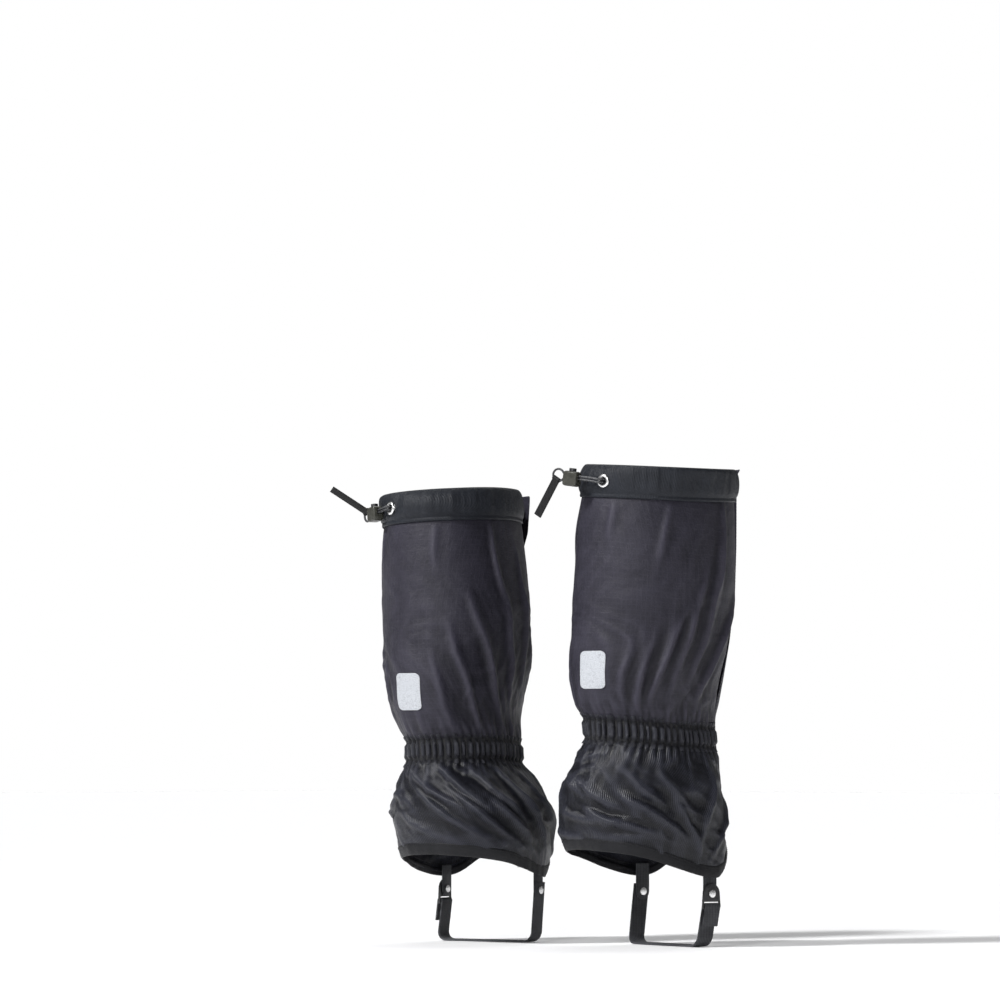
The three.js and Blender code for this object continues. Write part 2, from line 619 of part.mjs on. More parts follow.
function instep(side) {
  const outer = anchorX(1);
  const inner = -anchorX(-1);
  const y = STRAP.anchorY;
  const rivetZ = RIVET.height;
  const anchor = (x, inward) => {
    const shape = new THREE.Shape();
    shape.absarc(y, rivetZ, ANCHOR.radius, Math.PI, 2 * Math.PI, false);
    shape.lineTo(y + ANCHOR.radius, worn(side, ANCHOR.top));
    shape.lineTo(y - ANCHOR.radius, worn(side, ANCHOR.top));
    const hole = new THREE.Path();
    hole.absarc(y, rivetZ, RIVET.hole, 0, 2 * Math.PI, true);
    shape.holes.push(hole);
    const plate = extrude(shape, ANCHOR.thickness, 8);
    plate.applyMatrix4(uprightPlate());
    return plate.translate(inward > 0 ? x - ANCHOR.thickness : x, 0, 0);
  };
  const outerFace = outer + GAP;
  const buckleShape = new THREE.Shape();
  const slotHalf = STRAP.width / 2 + GAP;
  const buckleHalf = slotHalf + BUCKLE.side;
  const shoulder = BUCKLE.bottom + 2 * BUCKLE.flare;
  buckleShape.absarc(y, rivetZ, buckleHalf, 0, Math.PI, false);
  buckleShape.lineTo(y - buckleHalf - BUCKLE.flare, shoulder);
  buckleShape.lineTo(y - buckleHalf, BUCKLE.bottom);
  buckleShape.lineTo(y + buckleHalf, BUCKLE.bottom);
  buckleShape.lineTo(y + buckleHalf + BUCKLE.flare, shoulder);
  const pivot = new THREE.Path();
  pivot.absarc(y, rivetZ, RIVET.hole, 0, 2 * Math.PI, true);
  const barTop = BUCKLE.bottom + BUCKLE.bar;
  const slot = new THREE.Path();
  slot.moveTo(y - slotHalf, barTop);
  slot.lineTo(y - slotHalf, barTop + BUCKLE.slot);
  slot.lineTo(y + slotHalf, barTop + BUCKLE.slot);
  slot.lineTo(y + slotHalf, barTop);
  buckleShape.holes.push(pivot, slot);
  const buckle = extrude(buckleShape, BUCKLE.thickness, 10);
  buckle.applyMatrix4(uprightPlate()).translate(outerFace, 0, 0);

  // The strap's middle line, seen from the front: tail, over the buckle's bar, under the boot, up again.
  const half = STRAP.thickness / 2;
  const barX = outerFace + BUCKLE.thickness / 2;
  const over = BUCKLE.thickness / 2 + GAP + half;
  const overZ = barTop - BUCKLE.turnBelow;
  const innerX = inner - GAP - half;
  const line = new THREE.Path();
  line.moveTo(barX + over, STRAP.tail);
  line.lineTo(barX + over, overZ);
  line.absarc(barX, overZ, over, 0, Math.PI, false);
  line.lineTo(barX - over, STRAP.corner + half);
  line.absarc(barX - over - STRAP.corner, STRAP.corner + half, STRAP.corner, 0, -Math.PI / 2, true);
  line.lineTo(innerX + STRAP.corner, half);
  line.absarc(innerX + STRAP.corner, STRAP.corner + half, STRAP.corner, -Math.PI / 2, -Math.PI, true);
  line.lineTo(innerX, RIVET.height + ANCHOR.radius);
  const corners = line.getPoints(5).filter((p, i, all) => !i || p.distanceTo(all[i - 1]) > 1e-3);
  const strapShape = ribbonShape(corners, STRAP.thickness);
  const strap = extrude(strapShape, STRAP.width, 1);
  strap.rotateX(Math.PI / 2).translate(0, y + STRAP.width / 2, 0);
  const at = strap.attributes.position;
  for (let i = 0; i < at.count; i++) {
    const below = Math.max(0, BUCKLE.bottom - at.getZ(i)) / BUCKLE.bottom;
    at.setY(i, at.getY(i) - STRAP.back * below);
  }
  const rivetHole = rod(RIVET.hole, innerX - 3, innerX + 3, y, rivetZ);

  const rivet = (near, far) =>
    join(
      rod(RIVET.shank, near, far, y, rivetZ, 8),
      rod(RIVET.head, far - 0.01, far + RIVET.headHeight, y, rivetZ),
      rod(RIVET.head, near - RIVET.headHeight, near + 0.01, y, rivetZ),
    );
  const outerRivet = rivet(outer - ANCHOR.thickness - GAP, outerFace + BUCKLE.thickness + GAP);
  const innerRivet = rivet(inner - 2 * GAP - STRAP.thickness, inner + ANCHOR.thickness + GAP);
  return {
    fixed: [
      named(side, "outer_anchor_tab", anchor(outer, 1), MATERIAL.webbing),
      named(side, "inner_anchor_tab", anchor(inner, -1), MATERIAL.webbing),
      named(side, "outer_rivet", outerRivet, MATERIAL.steel),
      named(side, "inner_rivet", innerRivet, MATERIAL.steel),
    ],
    moving: [
      named(side, "instep_strap", cut(strap, rivetHole), MATERIAL.webbing),
      named(side, "strap_buckle", buckle, MATERIAL.plastic),
    ],
    pivot: new THREE.Vector3(0, y, rivetZ),
  };
}

// Stands a shape drawn in X and Y up in the plane of Y and Z, with its thickness along X.
function uprightPlate() {
  const [x, y, z] = [new THREE.Vector3(0, 1, 0), new THREE.Vector3(0, 0, 1), new THREE.Vector3(1, 0, 0)];
  return new THREE.Matrix4().makeBasis(x, y, z);
}

// Draws a box with round corners, from its half width, its top and bottom, and its corner radius.
function roundedBox(path, half, top, bottom, r) {
  path.moveTo(-half + r, bottom);
  path.lineTo(half - r, bottom);
  path.quadraticCurveTo(half, bottom, half, bottom + r);
  path.lineTo(half, top - r);
  path.quadraticCurveTo(half, top, half - r, top);
  path.lineTo(-half + r, top);
  path.quadraticCurveTo(-half, top, -half, top - r);
  path.lineTo(-half, bottom + r);
  path.quadraticCurveTo(-half, bottom, -half + r, bottom);
}

// ---- lace hook ----------------------------------------------------------------------------------
function laceHook(side) {
  const edge = hemHeight(HOOK.angle);
  const low = onLeg(side, HOOK.angle, edge, PANEL_OUT - GAP);
  const high = onLeg(side, HOOK.angle, edge + HOOK_TAB.lap, PANEL_OUT - GAP);
  const slope = Math.atan2(low.y - high.y, high.z - low.z);
  const eye = HOOK.wire * Math.SQRT2 + GAP;
  const outerRadius = eye + HOOK_TAB.ply;
  const shape = new THREE.Shape();
  shape.absarc(0, 0, outerRadius, Math.PI, 2 * Math.PI, false);
  shape.lineTo(outerRadius, HOOK_TAB.hang + HOOK_TAB.lap);
  shape.lineTo(outerRadius - 2 * HOOK_TAB.ply, HOOK_TAB.hang + HOOK_TAB.lap);
  shape.lineTo(outerRadius - 2 * HOOK_TAB.ply, 2 * eye);
  shape.lineTo(-outerRadius, eye);
  const hole = new THREE.Path();
  hole.absarc(0, 0, eye, 0, 2 * Math.PI, true);
  shape.holes.push(hole);
  const tab = extrude(shape, HOOK_TAB.width, 7);
  tab.applyMatrix4(uprightPlate()).translate(-HOOK_TAB.width / 2, 0, 0);

  const h = HOOK_RING.height;
  const frameShape = new THREE.Shape();
  roundedBox(frameShape, HOOK_RING.width / 2 + HOOK.wire, HOOK.wire, -h - HOOK.wire, 1.6);
  const inside = new THREE.Path();
  roundedBox(inside, HOOK_RING.width / 2 - HOOK.wire, -HOOK.wire, HOOK.wire - h, 0.8);
  frameShape.holes.push(inside);
  const ring = new THREE.ExtrudeGeometry(frameShape, {
    depth: 2 * HOOK.wire,
    bevelEnabled: false,
    curveSegments: 2,
  });
  ring.translate(0, 0, -HOOK.wire).rotateX(Math.PI / 2);
  const bottom = -h - HOOK.shank;
  const bow = Array.from({ length: 7 }, (_, i) => {
    const turn = (i / 6) * Math.PI;
    const [back, down] = [HOOK.throat * (Math.cos(turn) - 1), HOOK.throat * Math.sin(turn)];
    return new THREE.Vector3(0, back, bottom - down);
  });
  const tip = new THREE.Vector3(0, -2 * HOOK.throat, bottom + HOOK.tip);
  const shank = wire([new THREE.Vector3(0, 0, -h), ...bow, tip], HOOK.shankWire, 6, 1);
  const seat = new THREE.Vector3(low.x, low.y - outerRadius, low.z).add(
    new THREE.Vector3(0, HOOK_TAB.hang * Math.sin(slope), -HOOK_TAB.hang * Math.cos(slope)),
  );
  const seated = tab.rotateX(slope).translate(seat.x, seat.y, seat.z);
  return {
    tab: named(side, "lace_hook_tab", seated, MATERIAL.webbing),
    hook: named(side, "lace_hook", join(ring, shank), MATERIAL.steel),
    pivot: seat,
  };
}

// ---- one gaiter ---------------------------------------------------------------------------------
// The flap's hinge line: straight, just outside the cuff at the top and the hem band at the bottom.
function flapHinge(side) {
  const angle = OPENING.outer - EDGE_GAP;
  const top = onLeg(side, angle, cuffTop(angle), CUFF.thickness + GAP);
  const bottom = onLeg(side, angle, hemHeight(angle), HEM.inner + HEM.thickness + GAP);
  return { top, along: new THREE.Vector3().subVectors(top, bottom).normalize() };
}

// A group whose origin is a hinge's point and whose Z axis is its line, holding what turns on it.
function hinged(name, point, along, ...meshes) {
  const group = new THREE.Group();
  group.name = name;
  group.position.copy(point);
  group.quaternion.setFromUnitVectors(new THREE.Vector3(0, 0, 1), along);
  group.updateMatrix();
  const back = group.matrix.clone().invert();
  meshes.forEach((mesh) => {
    mesh.geometry.applyMatrix4(back);
    group.add(mesh);
  });
  return group;
}

// The cord lock and the pull tab, in their places on the cord.
function lockOnCord(side, line) {
  const group = new THREE.Group();
  group.name = `${side.name}_cord_line`;
  group.applyMatrix4(line);
  const lock = cordLock(side);
  const lockPlace = new THREE.Group();
  lockPlace.name = `${side.name}_lock_place`;
  lockPlace.position.x = side.lockTowards * side.lockAt;
  lockPlace.add(lock.body, lock.button, lock.spring);
  const seat = tabSeat(side);
  const aim = radians(TAB.aim);
  const back = new THREE.Vector3(-side.lockTowards * Math.cos(aim), 0, -side.tabUp * Math.sin(aim));
  const along = new THREE.Vector3(side.lockTowards * Math.sin(aim), 0, -side.tabUp * Math.cos(aim));
  const basis = new THREE.Matrix4().makeBasis(new THREE.Vector3().crossVectors(back, along), back, along);
  const tabPlace = new THREE.Group();
  tabPlace.name = `${side.name}_tab_pivot`;
  tabPlace.applyMatrix4(basis.setPosition(side.lockTowards * seat.x, 0, seat.z));
  tabPlace.add(pullTab(side));
  group.add(lockPlace, tabPlace);
  return group;
}

function gaiter(side) {
  const whole = new THREE.Group();
  whole.name = `${side.name}_gaiter`;
  const frame = eyeletFrame(side);
  const { fixed, moving } = closure(side);
  whole.add(...panels(side), ...ankleGather(side), ...fixed, badge(side));
  whole.add(...cuffAndEyelet(side, frame), drawcord(side, frame));

  const { top, along } = flapHinge(side);
  whole.add(hinged(`${side.name}_flap_pivot`, top, along, ...moving));

  whole.add(lockOnCord(side, cordFrame(side, frame)));

  const strap = instep(side);
  const across = new THREE.Vector3(1, 0, 0);
  whole.add(...strap.fixed, hinged(`${side.name}_strap_pivot`, strap.pivot, across, ...strap.moving));

  const hook = laceHook(side);
  const hookGroup = new THREE.Group();
  hookGroup.name = `${side.name}_hook_pivot`;
  hookGroup.position.copy(hook.pivot);
  hookGroup.add(hook.hook);
  whole.add(hook.tab, hookGroup);

  whole.scale.x = side.out;
  whole.rotation.z = -side.out * radians(STANCE.toeOut);
  whole.position.set((side.out * STANCE.apart) / 2, (side.out * STANCE.stagger) / 2, 0);
  return whole;
}

const pair = new THREE.Group();
pair.name = "gaiters";
SIDES.forEach((side) => pair.add(gaiter(side)));

export default pair;
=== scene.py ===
"""A pair of knee-high hiking gaiters, in the shape they take when worn.

The panels are cloth simulated between their pinned seams, over the form that the frame's own pieces give.
The casings, cuffs and flaps are sheets built from the same form, the straps are refined copies of the frame's
pieces, and the hardware is modelled.
Metres, +Z up, in the frame's own axes: the wearer faces +Y.
"""

import json
import math

import bmesh
import bpy
import numpy as np
from mathutils import Matrix, Vector, noise
from mathutils.bvhtree import BVHTree

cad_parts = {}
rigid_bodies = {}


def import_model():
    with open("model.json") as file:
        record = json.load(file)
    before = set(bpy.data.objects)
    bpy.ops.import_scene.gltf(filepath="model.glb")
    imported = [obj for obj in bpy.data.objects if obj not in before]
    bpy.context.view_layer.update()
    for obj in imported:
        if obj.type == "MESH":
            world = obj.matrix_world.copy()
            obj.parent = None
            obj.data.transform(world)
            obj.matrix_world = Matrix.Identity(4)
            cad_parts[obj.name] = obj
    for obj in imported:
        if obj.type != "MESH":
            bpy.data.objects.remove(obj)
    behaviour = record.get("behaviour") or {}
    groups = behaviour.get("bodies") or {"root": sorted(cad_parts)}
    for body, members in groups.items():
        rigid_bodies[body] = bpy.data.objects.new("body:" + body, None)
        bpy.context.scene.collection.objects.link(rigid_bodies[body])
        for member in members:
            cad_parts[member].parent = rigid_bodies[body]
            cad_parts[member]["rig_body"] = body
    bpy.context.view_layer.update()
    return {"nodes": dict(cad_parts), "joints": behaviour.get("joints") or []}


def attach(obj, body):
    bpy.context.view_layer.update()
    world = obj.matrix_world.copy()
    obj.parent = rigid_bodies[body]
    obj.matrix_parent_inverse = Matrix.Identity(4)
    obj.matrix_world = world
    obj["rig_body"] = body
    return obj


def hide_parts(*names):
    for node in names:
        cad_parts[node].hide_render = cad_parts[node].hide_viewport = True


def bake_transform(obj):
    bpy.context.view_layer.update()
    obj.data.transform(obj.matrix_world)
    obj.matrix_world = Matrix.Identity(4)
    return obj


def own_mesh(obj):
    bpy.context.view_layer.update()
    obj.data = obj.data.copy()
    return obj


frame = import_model()

MM = 0.001
SIDES = ("right", "left")

# ---- camera, floor and light ---------------------------------------------------------------------
CAMERA_TURN = 44.0  # degrees from straight behind, towards the wearer's right
CAMERA_DISTANCE = 5.0
CAMERA_HEIGHT = 0.19
CAMERA_LENS = 180.0
AIM_HEIGHT = 0.443
AIM_LEFT = 0.0562  # how far the view's centre lies to the left of the pair's


def aim_camera():
    turn = math.radians(CAMERA_TURN)
    away = Vector((math.sin(turn), -math.cos(turn), 0))
    rightwards = Vector((math.cos(turn), math.sin(turn), 0))
    target = Vector((0, 0, AIM_HEIGHT)) - rightwards * AIM_LEFT
    place = target + away * CAMERA_DISTANCE
    place.z = CAMERA_HEIGHT
    data = bpy.data.cameras.new("camera")
    data.lens = CAMERA_LENS
    data.sensor_width = 36.0
    camera = bpy.data.objects.new("camera", data)
    camera.location = place
    camera.rotation_euler = (target - place).to_track_quat("-Z", "Y").to_euler()
    bpy.context.scene.collection.objects.link(camera)
    bpy.context.scene.camera = camera
    return rightwards, away


def add_light(name, place, target, size, watts):
    data = bpy.data.lights.new(name, "AREA")
    data.energy = watts
    data.size = size
    lamp = bpy.data.objects.new(name, data)
    lamp.location = place
    lamp.rotation_euler = (Vector(target) - Vector(place)).to_track_quat("-Z", "Y").to_euler()
    bpy.context.scene.collection.objects.link(lamp)


KEY_STRENGTH, TOP_STRENGTH, AMBIENT_STRENGTH = 3.25, 1.05, 0.15
KEY_SOFTNESS, TOP_SOFTNESS = 9, 40  # degrees
GLINT_SIZE, GLINT_WATTS = 0.3, 11


def add_sun(name, direction, strength, soft):
    """Even light from far away, whose shadows are softened by its width in degrees."""
    data = bpy.data.lights.new(name, "SUN")
    data.energy = strength
    data.angle = math.radians(soft)
    lamp = bpy.data.objects.new(name, data)
    lamp.rotation_euler = Vector(direction).to_track_quat("Z", "Y").to_euler()
    bpy.context.scene.collection.objects.link(lamp)


def build_stage():
    rightwards, away = aim_camera()
    middle = Vector((0, 0, 0.25))
    add_sun("key_sun", away * 0.55 - rightwards * 0.95 + Vector((0, 0, 1.0)), KEY_STRENGTH, KEY_SOFTNESS)
    add_sun("top_sun", rightwards * 0.1 - away * 0.5 + Vector((0, 0, 1.0)), TOP_STRENGTH, TOP_SOFTNESS)
    glint = middle + away * 1.5 - rightwards * 0.5 + Vector((0, 0, 0.75))
    add_light("glint_light", glint, middle, GLINT_SIZE, GLINT_WATTS)
    bpy.ops.mesh.primitive_plane_add(size=30, location=(0, 0, -0.0005))
    floor = bpy.context.active_object
    floor.name = "floor"
    floor.data.materials.append(plain_material("floor_white", (0.93, 0.93, 0.94), 0.75))
    world = bpy.data.worlds.new("studio")
    world.use_nodes = True
    tree = world.node_tree
    shade = tree.nodes["Background"]
    shade.inputs["Strength"].default_value = AMBIENT_STRENGTH
    backdrop = tree.nodes.new("ShaderNodeBackground")
    seen = tree.nodes.new("ShaderNodeLightPath")
    either = tree.nodes.new("ShaderNodeMixShader")
    for background in (shade, backdrop):
        background.inputs["Color"].default_value = (1, 1, 1, 1)
    tree.links.new(seen.outputs["Is Camera Ray"], either.inputs[0])
    tree.links.new(shade.outputs[0], either.inputs[1])
    tree.links.new(backdrop.outputs[0], either.inputs[2])
    tree.links.new(either.outputs[0], tree.nodes["World Output"].inputs["Surface"])
    bpy.context.scene.world = world
    bpy.context.scene.view_settings.view_transform = "Standard"


# ---- materials -----------------------------------------------------------------------------------
def plain_material(name, colour, roughness, metallic=0.0):
    material = bpy.data.materials.new(name)
    material.use_nodes = True
    shader = material.node_tree.nodes["Principled BSDF"]
    shader.inputs["Base Color"].default_value = (*colour, 1)
    shader.inputs["Roughness"].default_value = roughness
    shader.inputs["Metallic"].default_value = metallic
    return material


class Nodes:
    """A short way to add and link shader nodes."""

    def __init__(self, material):
        self.tree = material.node_tree
        self.shader = self.tree.nodes["Principled BSDF"]

    def add(self, kind, **settings):
        node = self.tree.nodes.new(kind)
        for key, value in settings.items():
            if key in node.inputs.keys():
                node.inputs[key].default_value = value
            else:
                setattr(node, key, value)
        return node

    def link(self, output, target):
        self.tree.links.new(output, target)
        return output

    def math(self, operation, a, b=None):
        node = self.add("ShaderNodeMath", operation=operation)
        for i, value in enumerate((a, b)):
            if value is None:
                continue
            if isinstance(value, (int, float)):
                node.inputs[i].default_value = value
            else:
                self.link(value, node.inputs[i])
        return node.outputs[0]

    def stripes(self, coordinate, pitch, sharp):
        """A ridge once every pitch, narrow when sharp is high: from 0 to 1."""
        wave = self.math("COSINE", self.math("MULTIPLY", coordinate, 2 * math.pi / pitch))
        raised = self.math("MULTIPLY", self.math("ADD", wave, 1.0), 0.5)
        return self.math("POWER", raised, sharp)

    def noise(self, vector, scale, detail=3.0, rough=0.5):
        node = self.add("ShaderNodeTexNoise", Scale=scale, Detail=detail, Roughness=rough)
        self.link(vector, node.inputs["Vector"])
        return node.outputs["Fac"]

    def ramp(self, factor, stops):
        node = self.add("ShaderNodeValToRGB")
        for i, (place, colour) in enumerate(stops):
            stop = node.color_ramp.elements[i] if i < 2 else node.color_ramp.elements.new(place)
            stop.position = place
            stop.color = (*colour, 1)
        self.link(factor, node.inputs["Fac"])
        return node.outputs["Color"]

    def bump(self, height, strength, distance, before=None):
        node = self.add("ShaderNodeBump", Strength=strength, Distance=distance)
        self.link(height, node.inputs["Height"])
        if before is not None:
            self.link(before, node.inputs["Normal"])
        return node.outputs["Normal"]


CLOTH_GLOSS = 0.24
PAINTED_FOLD_SHADING = 0.3  # painted highlight and painted shade: how much lighter the cloth's colour is made on a crest, and darker in a hollow


def cloth_material(name, dark, light, weave, grid=None, ribs=0.0, roughness=0.55, sheen=0.02, coat=0.0):
    """Woven cloth: two thread directions at the weave's pitch, and a ripstop grid if it has one."""
    material = plain_material(name, dark, roughness)
    n = Nodes(material)
    uv = n.add("ShaderNodeUVMap", uv_map="cloth").outputs["UV"]
    split = n.add("ShaderNodeSeparateXYZ")
    n.link(uv, split.inputs[0])
    across, along = split.outputs[0], split.outputs[1]
    warp = n.stripes(across, weave, 1.0)
    weft = n.stripes(along, weave * 0.86, 1.0)
    threads = n.math("MULTIPLY", n.math("ADD", warp, weft), 0.5)
    cloudy = n.noise(uv, 30.0, 5.0, 0.62)
    fine = n.noise(uv, 700.0, 3.0, 0.6)
    tone = n.math("ADD", n.math("MULTIPLY", threads, 0.24), n.math("MULTIPLY", cloudy, 0.5))
    tone = n.math("ADD", tone, n.math("MULTIPLY", fine, 0.26))
    if ribs:
        broken = n.math("MULTIPLY", warp, n.noise(uv, 60.0, 4.0, 0.7))
        tone = n.math("ADD", tone, n.math("MULTIPLY", n.math("SUBTRACT", broken, 0.22), ribs))
    if grid:
        lines = n.math("MAXIMUM", n.stripes(across, grid, 14.0), n.stripes(along, grid, 14.0))
        tone = n.math("ADD", tone, n.math("MULTIPLY", lines, 0.075))
    # painted shade and painted highlight: the cloth's colour is darkened in the hollows of folds and pleats and
    # lightened on their crests
    painted_fold_shading = n.add("ShaderNodeAttribute", attribute_name="painted_fold_shading").outputs["Fac"]
    tone = n.math("ADD", tone, n.math("MULTIPLY", painted_fold_shading, PAINTED_FOLD_SHADING))
    n.link(n.ramp(tone, [(0.25, dark), (0.85, light)]), n.shader.inputs["Base Color"])
    normal = n.bump(warp if ribs else threads, 0.55, weave * 0.22)
    if grid:
        normal = n.bump(lines, 0.35, 0.00015, normal)
    creases = n.noise(uv, 55.0, 6.0, 0.68)
    normal = n.bump(creases, 0.6, 0.0022, normal)
    n.link(normal, n.shader.inputs["Normal"])
    n.shader.inputs["Specular IOR Level"].default_value = CLOTH_GLOSS
    n.shader.inputs["Sheen Weight"].default_value = sheen
    n.shader.inputs["Sheen Roughness"].default_value = 0.4
    n.shader.inputs["Coat Weight"].default_value = coat
    n.shader.inputs["Coat Roughness"].default_value = 0.45
    return material


def cord_material():
    """Braided cord: two sets of strands that cross, light on their crowns."""
    material = plain_material("cord", (0.02, 0.02, 0.022), 0.5)
    n = Nodes(material)
    place = n.add("ShaderNodeTexCoord").outputs["Object"]
    cells = n.add("ShaderNodeTexVoronoi", Scale=1350.0)
    n.link(place, cells.inputs["Vector"])
    stops = [(0.1, (0.085, 0.087, 0.093)), (0.75, (0.009, 0.009, 0.011))]
    n.link(n.ramp(cells.outputs["Distance"], stops), n.shader.inputs["Base Color"])
    n.link(n.bump(cells.outputs["Distance"], -0.8, 0.0003), n.shader.inputs["Normal"])
    return material


def moulded_material(name, dark, light, roughness):
    material = plain_material(name, dark, roughness)
    n = Nodes(material)
    place = n.add("ShaderNodeTexCoord").outputs["Object"]
    n.link(n.ramp(n.noise(place, 260.0, 4.0), [(0.3, dark), (0.75, light)]), n.shader.inputs["Base Color"])
    n.link(n.bump(n.noise(place, 1500.0, 2.0), 0.25, 0.0001), n.shader.inputs["Normal"])
    return material


def metal_material(name, colour, roughness):
    material = plain_material(name, colour, roughness, 1.0)
    n = Nodes(material)
    place = n.add("ShaderNodeTexCoord").outputs["Object"]
    worn = n.noise(place, 500.0, 4.0)
    rough = n.add("ShaderNodeMapRange")
    rough.inputs["To Min"].default_value = roughness * 0.7
    rough.inputs["To Max"].default_value = roughness * 1.6
    n.link(worn, rough.inputs["Value"])
    n.link(rough.outputs[0], n.shader.inputs["Roughness"])
    n.link(n.bump(worn, 0.08, 0.00005), n.shader.inputs["Normal"])
    return material


# dark and light are the colours between the threads and on their crowns; weave and grid are pitches in metres
CLOTH = {
    "ripstop": dict(dark=(0.0078, 0.0072, 0.0122), light=(0.0375, 0.0352, 0.051), weave=0.0009, grid=0.0052,
                    roughness=0.48),
    "oxford": dict(dark=(0.0022, 0.0024, 0.0042), light=(0.0265, 0.0278, 0.0385), weave=0.0021, ribs=0.6,
                   roughness=0.36, coat=0.05),
    "casing_cloth": dict(dark=(0.0022, 0.0024, 0.0042), light=(0.0275, 0.0285, 0.037), weave=0.0016, ribs=0.4,
                         roughness=0.4, coat=0.04),
    "cuff_cloth": dict(dark=(0.0045, 0.0054, 0.0082), light=(0.021, 0.0242, 0.0325), weave=0.0016, ribs=0.35,
                       roughness=0.5),
    "binding": dict(dark=(0.003, 0.0031, 0.004), light=(0.017, 0.0173, 0.021), weave=0.0011, roughness=0.55),
    "webbing": dict(dark=(0.016, 0.0165, 0.019), light=(0.075, 0.077, 0.085), weave=0.0019, ribs=0.4,
                    roughness=0.5),
    "tab_webbing": dict(dark=(0.003, 0.003, 0.0035), light=(0.014, 0.014, 0.015), weave=0.0014,
                        roughness=0.55),
    "elastic": dict(dark=(0.008, 0.008, 0.009), light=(0.03, 0.03, 0.032), weave=0.0013, roughness=0.8),
    "loop_pile": dict(dark=(0.006, 0.006, 0.007), light=(0.022, 0.022, 0.024), weave=0.0006, roughness=0.95),
    "hook_pile": dict(dark=(0.005, 0.005, 0.006), light=(0.02, 0.02, 0.022), weave=0.0011, roughness=0.9),
    "thread": dict(dark=(0.004, 0.004, 0.005), light=(0.016, 0.016, 0.019), weave=0.0005, roughness=0.6),
}
FINISH = {name: cloth_material(name, **values) for name, values in CLOTH.items()}
FINISH["olive_plastic"] = moulded_material("olive_plastic", (0.022, 0.022, 0.017), (0.05, 0.05, 0.041), 0.36)
FINISH["black_plastic"] = moulded_material("black_plastic", (0.008, 0.008, 0.009), (0.026, 0.026, 0.028), 0.4)
FINISH["cord"] = cord_material()
FINISH["nickel"] = metal_material("nickel", (0.82, 0.82, 0.82), 0.22)


def reflective_material():
    """Silver film over a net of small cells."""
    material = plain_material("reflective_film", (0.5, 0.52, 0.55), 0.4)
    n = Nodes(material)
    uv = n.add("ShaderNodeUVMap", uv_map="cloth").outputs["UV"]
    cells = n.add("ShaderNodeTexVoronoi", feature="DISTANCE_TO_EDGE", Scale=620.0)
    n.link(uv, cells.inputs["Vector"])
    tone = n.ramp(cells.outputs["Distance"], [(0.0, (0.3, 0.31, 0.34)), (0.12, (0.47, 0.49, 0.52))])
    n.link(tone, n.shader.inputs["Base Color"])
    n.link(n.bump(cells.outputs["Distance"], 0.3, 0.0001), n.shader.inputs["Normal"])
    n.shader.inputs["Coat Weight"].default_value = 0.4
    n.shader.inputs["Coat Roughness"].default_value = 0.2
    return material


FINISH["reflective_film"] = reflective_material()


# ---- the leg's form, read from the frame ---------------------------------------------------------
ANCHOR_AHEAD = 38 * MM  # the strap's pivot lies this far in front of the gaiter's own centre line
FORM_LOW, FORM_HIGH, FORM_STEP = 60 * MM, 480 * MM, 4 * MM
FORM_ROWS = np.arange(FORM_LOW, FORM_HIGH + FORM_STEP / 2, FORM_STEP)
FORM_ANGLES = 120
PANEL_NODES = ("calf_panel", "boot_skirt", "hem_band", "ankle_casing", "top_cuff", "placket")


def joint(name):
    return next(j for j in frame["joints"] if j["name"] == name)


def mesh_arrays(node):
    mesh = frame["nodes"][node].data
    points = np.zeros(len(mesh.vertices) * 3)
    mesh.vertices.foreach_get("co", points)
    mesh.calc_loop_triangles()
    faces = np.zeros(len(mesh.loop_triangles) * 3, int)
    mesh.loop_triangles.foreach_get("vertices", faces)
    return points.reshape(-1, 3), faces.reshape(-1, 3)


def smooth_rows(values, times, around):
    """Evens out a table of radii: along its rows always, and round its columns."""
    for _ in range(times):
        padded = np.concatenate([values[:1], values, values[-1:]])
        values = 0.25 * padded[:-2] + 0.5 * padded[1:-1] + 0.25 * padded[2:]
        for _ in range(around):
            values = 0.25 * np.roll(values, 1, 1) + 0.5 * values + 0.25 * np.roll(values, -1, 1)
    return values


